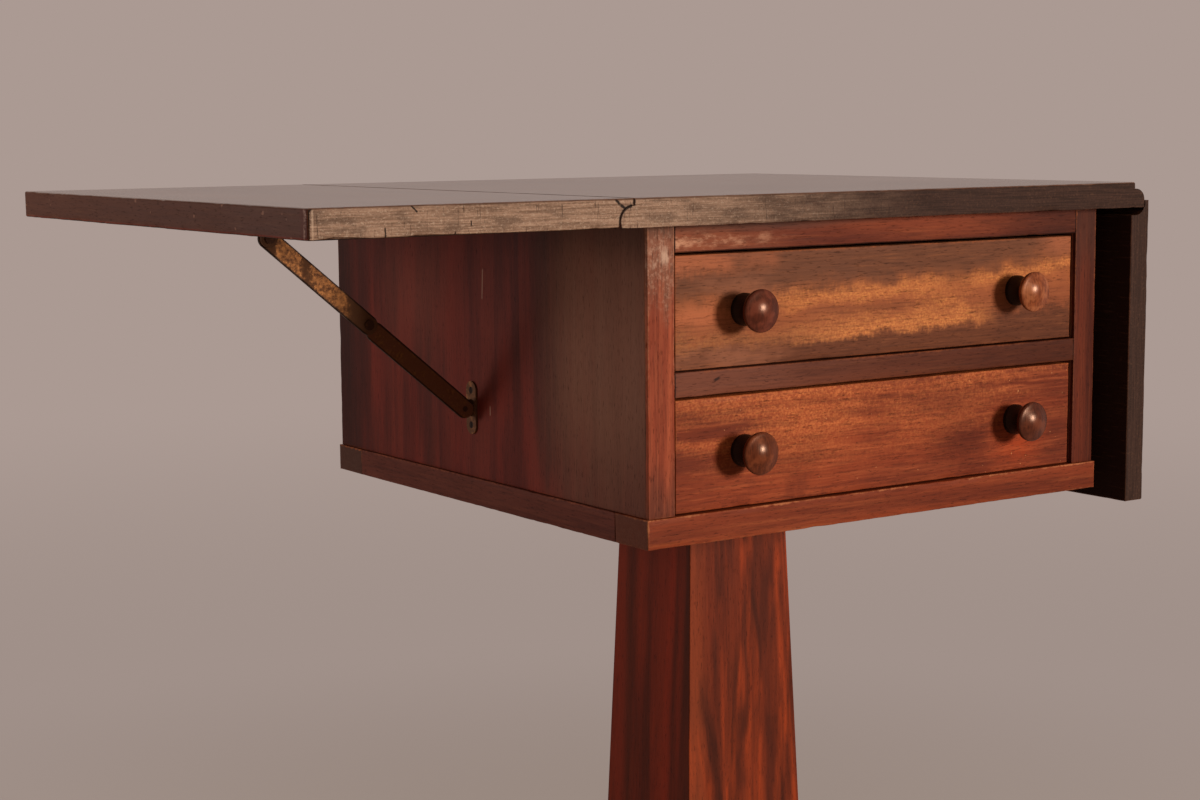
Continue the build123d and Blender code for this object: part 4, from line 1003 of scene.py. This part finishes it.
def polished_knob(node, deep, body, light, shift):
    """Hand-polished turned wood, painted darker at the rim as shade, its stem dark from dirt and shade."""
    wood = PieceFinish(node, Z)
    fibres = wood.streaks(70.0, 800.0, detail=3.0, shift=shift)
    patches = wood.blots(70.0, shift=shift)
    colour = wood.mix(wood.rise(fibres, 0.35, 0.65), deep, body)
    colour = wood.mix(wood.rise(patches, 0.48, 0.66) * 0.8, colour, light)
    neck_dirt_and_shade = wood.rise(wood.y, wood.low.y + HEAD_DEPTH, wood.low.y + HEAD_DEPTH + 0.003)
    # painted shade: the head darkens towards its rim
    rim = wood.rise(wood.y, wood.low.y + 0.003, wood.low.y + HEAD_DEPTH)
    colour = wood.mix(rim * 0.5, colour, deep)
    # the stem: dirt and painted shade under the head, nearly black
    colour = wood.mix(neck_dirt_and_shade, colour, srgb(13, 8, 6))
    wood.surface.inputs["Specular Tint"].default_value = SHELLAC
    rough = 0.20 + 0.1 * patches + 0.3 * neck_dirt_and_shade
    wood.apply(colour, rough, sheen=0.36, relief=fibres + patches, strength=0.25, depth=0.0002)


KNOB_WOODS = {
    "upper_drawer_left_knob": (srgb(66, 27, 17), srgb(86, 37, 24), srgb(112, 53, 36)),
    "upper_drawer_right_knob": (srgb(102, 48, 25), srgb(140, 72, 41), srgb(166, 97, 60)),
    "lower_drawer_left_knob": (srgb(74, 31, 15), srgb(96, 43, 22), srgb(124, 61, 34)),
    "lower_drawer_right_knob": (srgb(60, 25, 15), srgb(80, 35, 21), srgb(106, 52, 32)),
}
for number, (node, woods) in enumerate(KNOB_WOODS.items()):
    polished_knob(node, *woods, shift=13.0 * number)
print(len(KNOB_WOODS), "knobs dressed")

# %% [markdown]
# ## Brass and steel
# The stay's upper link is still golden between patches of tarnish, while the lower one has turned to
# dark bronze, and dirt has blackened the edges of both. The lower link's bronze is painted paler, as
# painted light, because it hangs in the case's shadow. Old brass is a mixture: bare metal mirrors,
# its oxide skin is matt, so the shader is only partly Metallic, and less so under thick tarnish. The
# screws are steel, browned with rust, and take the same finish in their own colours. Each brass piece
# has a colour of its tarnish and a share that it covers, and the links also say where it lies.

# %% Metal finish
BRASS = srgb(142, 90, 47)
SPECKLED_BRASS = srgb(78, 45, 25)
BRONZE = srgb(100, 64, 41)
# the lower link's bronze, painted paler as painted light in the case's shadow
BRONZE_WITH_PAINTED_LIGHT = srgb(114, 67, 43)
DARK_BRONZE = srgb(80, 49, 33)
GRIME = srgb(34, 21, 14)
STEEL = srgb(66, 48, 38)
RUST = srgb(38, 24, 17)
METAL_SHARE, OXIDE_SHARE = 0.40, 0.22
METAL_ROUGHNESS = 0.46
BAR_WIDTH = 14.5


def bar_edges(metal):
    """1 on the sides of a flat bar and along the edges of its broad faces."""
    half = (BAR_WIDTH / 2) * MM
    start = (metal.low.x + half, metal.high.z - half)
    end = (metal.high.x - half, metal.low.z + half)
    run = Vector(end) - Vector(start)
    off_axis = (metal.x - start[0]) * (run.y / run.length) - (metal.z - start[1]) * (run.x / run.length)
    rim = metal.rise(off_axis.size(), half - 0.0016, half - 0.0006)
    return rim.most(metal.rise(metal.facing[Y].size(), 0.9, 0.6))


def tarnished(node, bright, dull, tarnish, bands=None):
    """Brass or steel under a patchy skin of tarnish; tarnish says how much of it is covered."""
    metal = PieceFinish(node, X)
    patches = metal.blots(110.0, detail=5.0)
    grit = metal.blots(430.0, detail=4.0, shift=4)
    level = patches + 0.35 * (grit - 0.5)
    if bands:
        level = level + bands(metal)
    cover = metal.rise(level, 0.68 - 0.5 * tarnish, 0.96 - 0.5 * tarnish)
    edges = bar_edges(metal) if bands else cover * 0.3
    colour = metal.mix(metal.rise(grit, 0.30, 0.72), bright, SPECKLED_BRASS)
    colour = metal.mix(cover, colour, dull)
    colour = metal.mix(edges * 0.85, colour, GRIME)
    metal.feed(metal.surface.inputs["Metallic"], METAL_SHARE - OXIDE_SHARE * cover.most(edges))
    rough = METAL_ROUGHNESS + 0.22 * cover + 0.25 * (grit - 0.5)
    metal.apply(colour, rough, sheen=0.1, relief=grit + cover * 0.6, strength=0.3, depth=0.0003)


print("metal finish ready, up to", METAL_SHARE, "metallic")

# %% Stays, hinges and screws
SQUARE = 0.9999
METAL_BEVEL = 0.3


def upper_link_bands(metal):
    """Tarnish along the upper link: a patch near the leaf, and all of the knuckle's end."""
    along = metal.share(X)
    patch = metal.bump(along, 0.40, 0.10) * 0.42
    eye = metal.rise(along, 0.17, 0.11) * 0.5
    return patch + eye + metal.rise(along, 0.68, 0.80) * 0.5 - 0.18


def lower_link_bands(metal):
    """The lower link is covered all over."""
    return 0.2 + 0.1 * metal.share(X)


def soft_edged(node):
    """A metal piece with its sharp edges broken and its square faces kept flat."""
    shape = solid_copy(node)
    break_edges(shape, [edge for edge in shape.edges if is_sharp(edge)], METAL_BEVEL)
    for face in shape.faces:
        face.smooth = max(abs(share) for share in face.normal) < SQUARE
    return finish_piece(node, shape)


METAL_CARE = {
    "upper_link": (BRONZE, 0.5, upper_link_bands), "lower_link": (BRONZE_WITH_PAINTED_LIGHT, 0.35, lower_link_bands),
    "case_plate": (BRONZE, 0.75), "leaf_plate": (BRONZE, 0.95),
    "rivets": (DARK_BRONZE, 0.9), "hinge": (BRONZE, 0.8),
}
for node in sorted(body_of):
    if slot_of[node] == "brass":
        if "link" in node or "plate" in node:
            soft_edged(node)
        tarnished(node, BRASS, *next(care for word, care in METAL_CARE.items() if word in node))
    if slot_of[node] == "steel_screws":
        tarnished(node, STEEL, RUST, 0.8)
print("metal dressed")

# %% [markdown]
# ## Hidden wood
# Inside a case like this a joiner uses plain pine: drawer sides, bottoms, runners and the back. It is
# never polished, so it is matt, pale and dusty, and it shows only from behind or with a drawer open.

# %% Plain pine
for node in sorted(body_of):
    if slot_of[node] == "secondary_wood":
        low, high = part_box(node)
        size = high - low
        longest = max((X, Y, Z), key=lambda axis: size[axis])
        shellacked(
            node, longest, srgb(120, 80, 50), srgb(150, 106, 70), srgb(170, 128, 90),
            ribbon=(3.0, 60.0), rub=0.2, gloss=0.66, shift=151)
print("pine dressed")
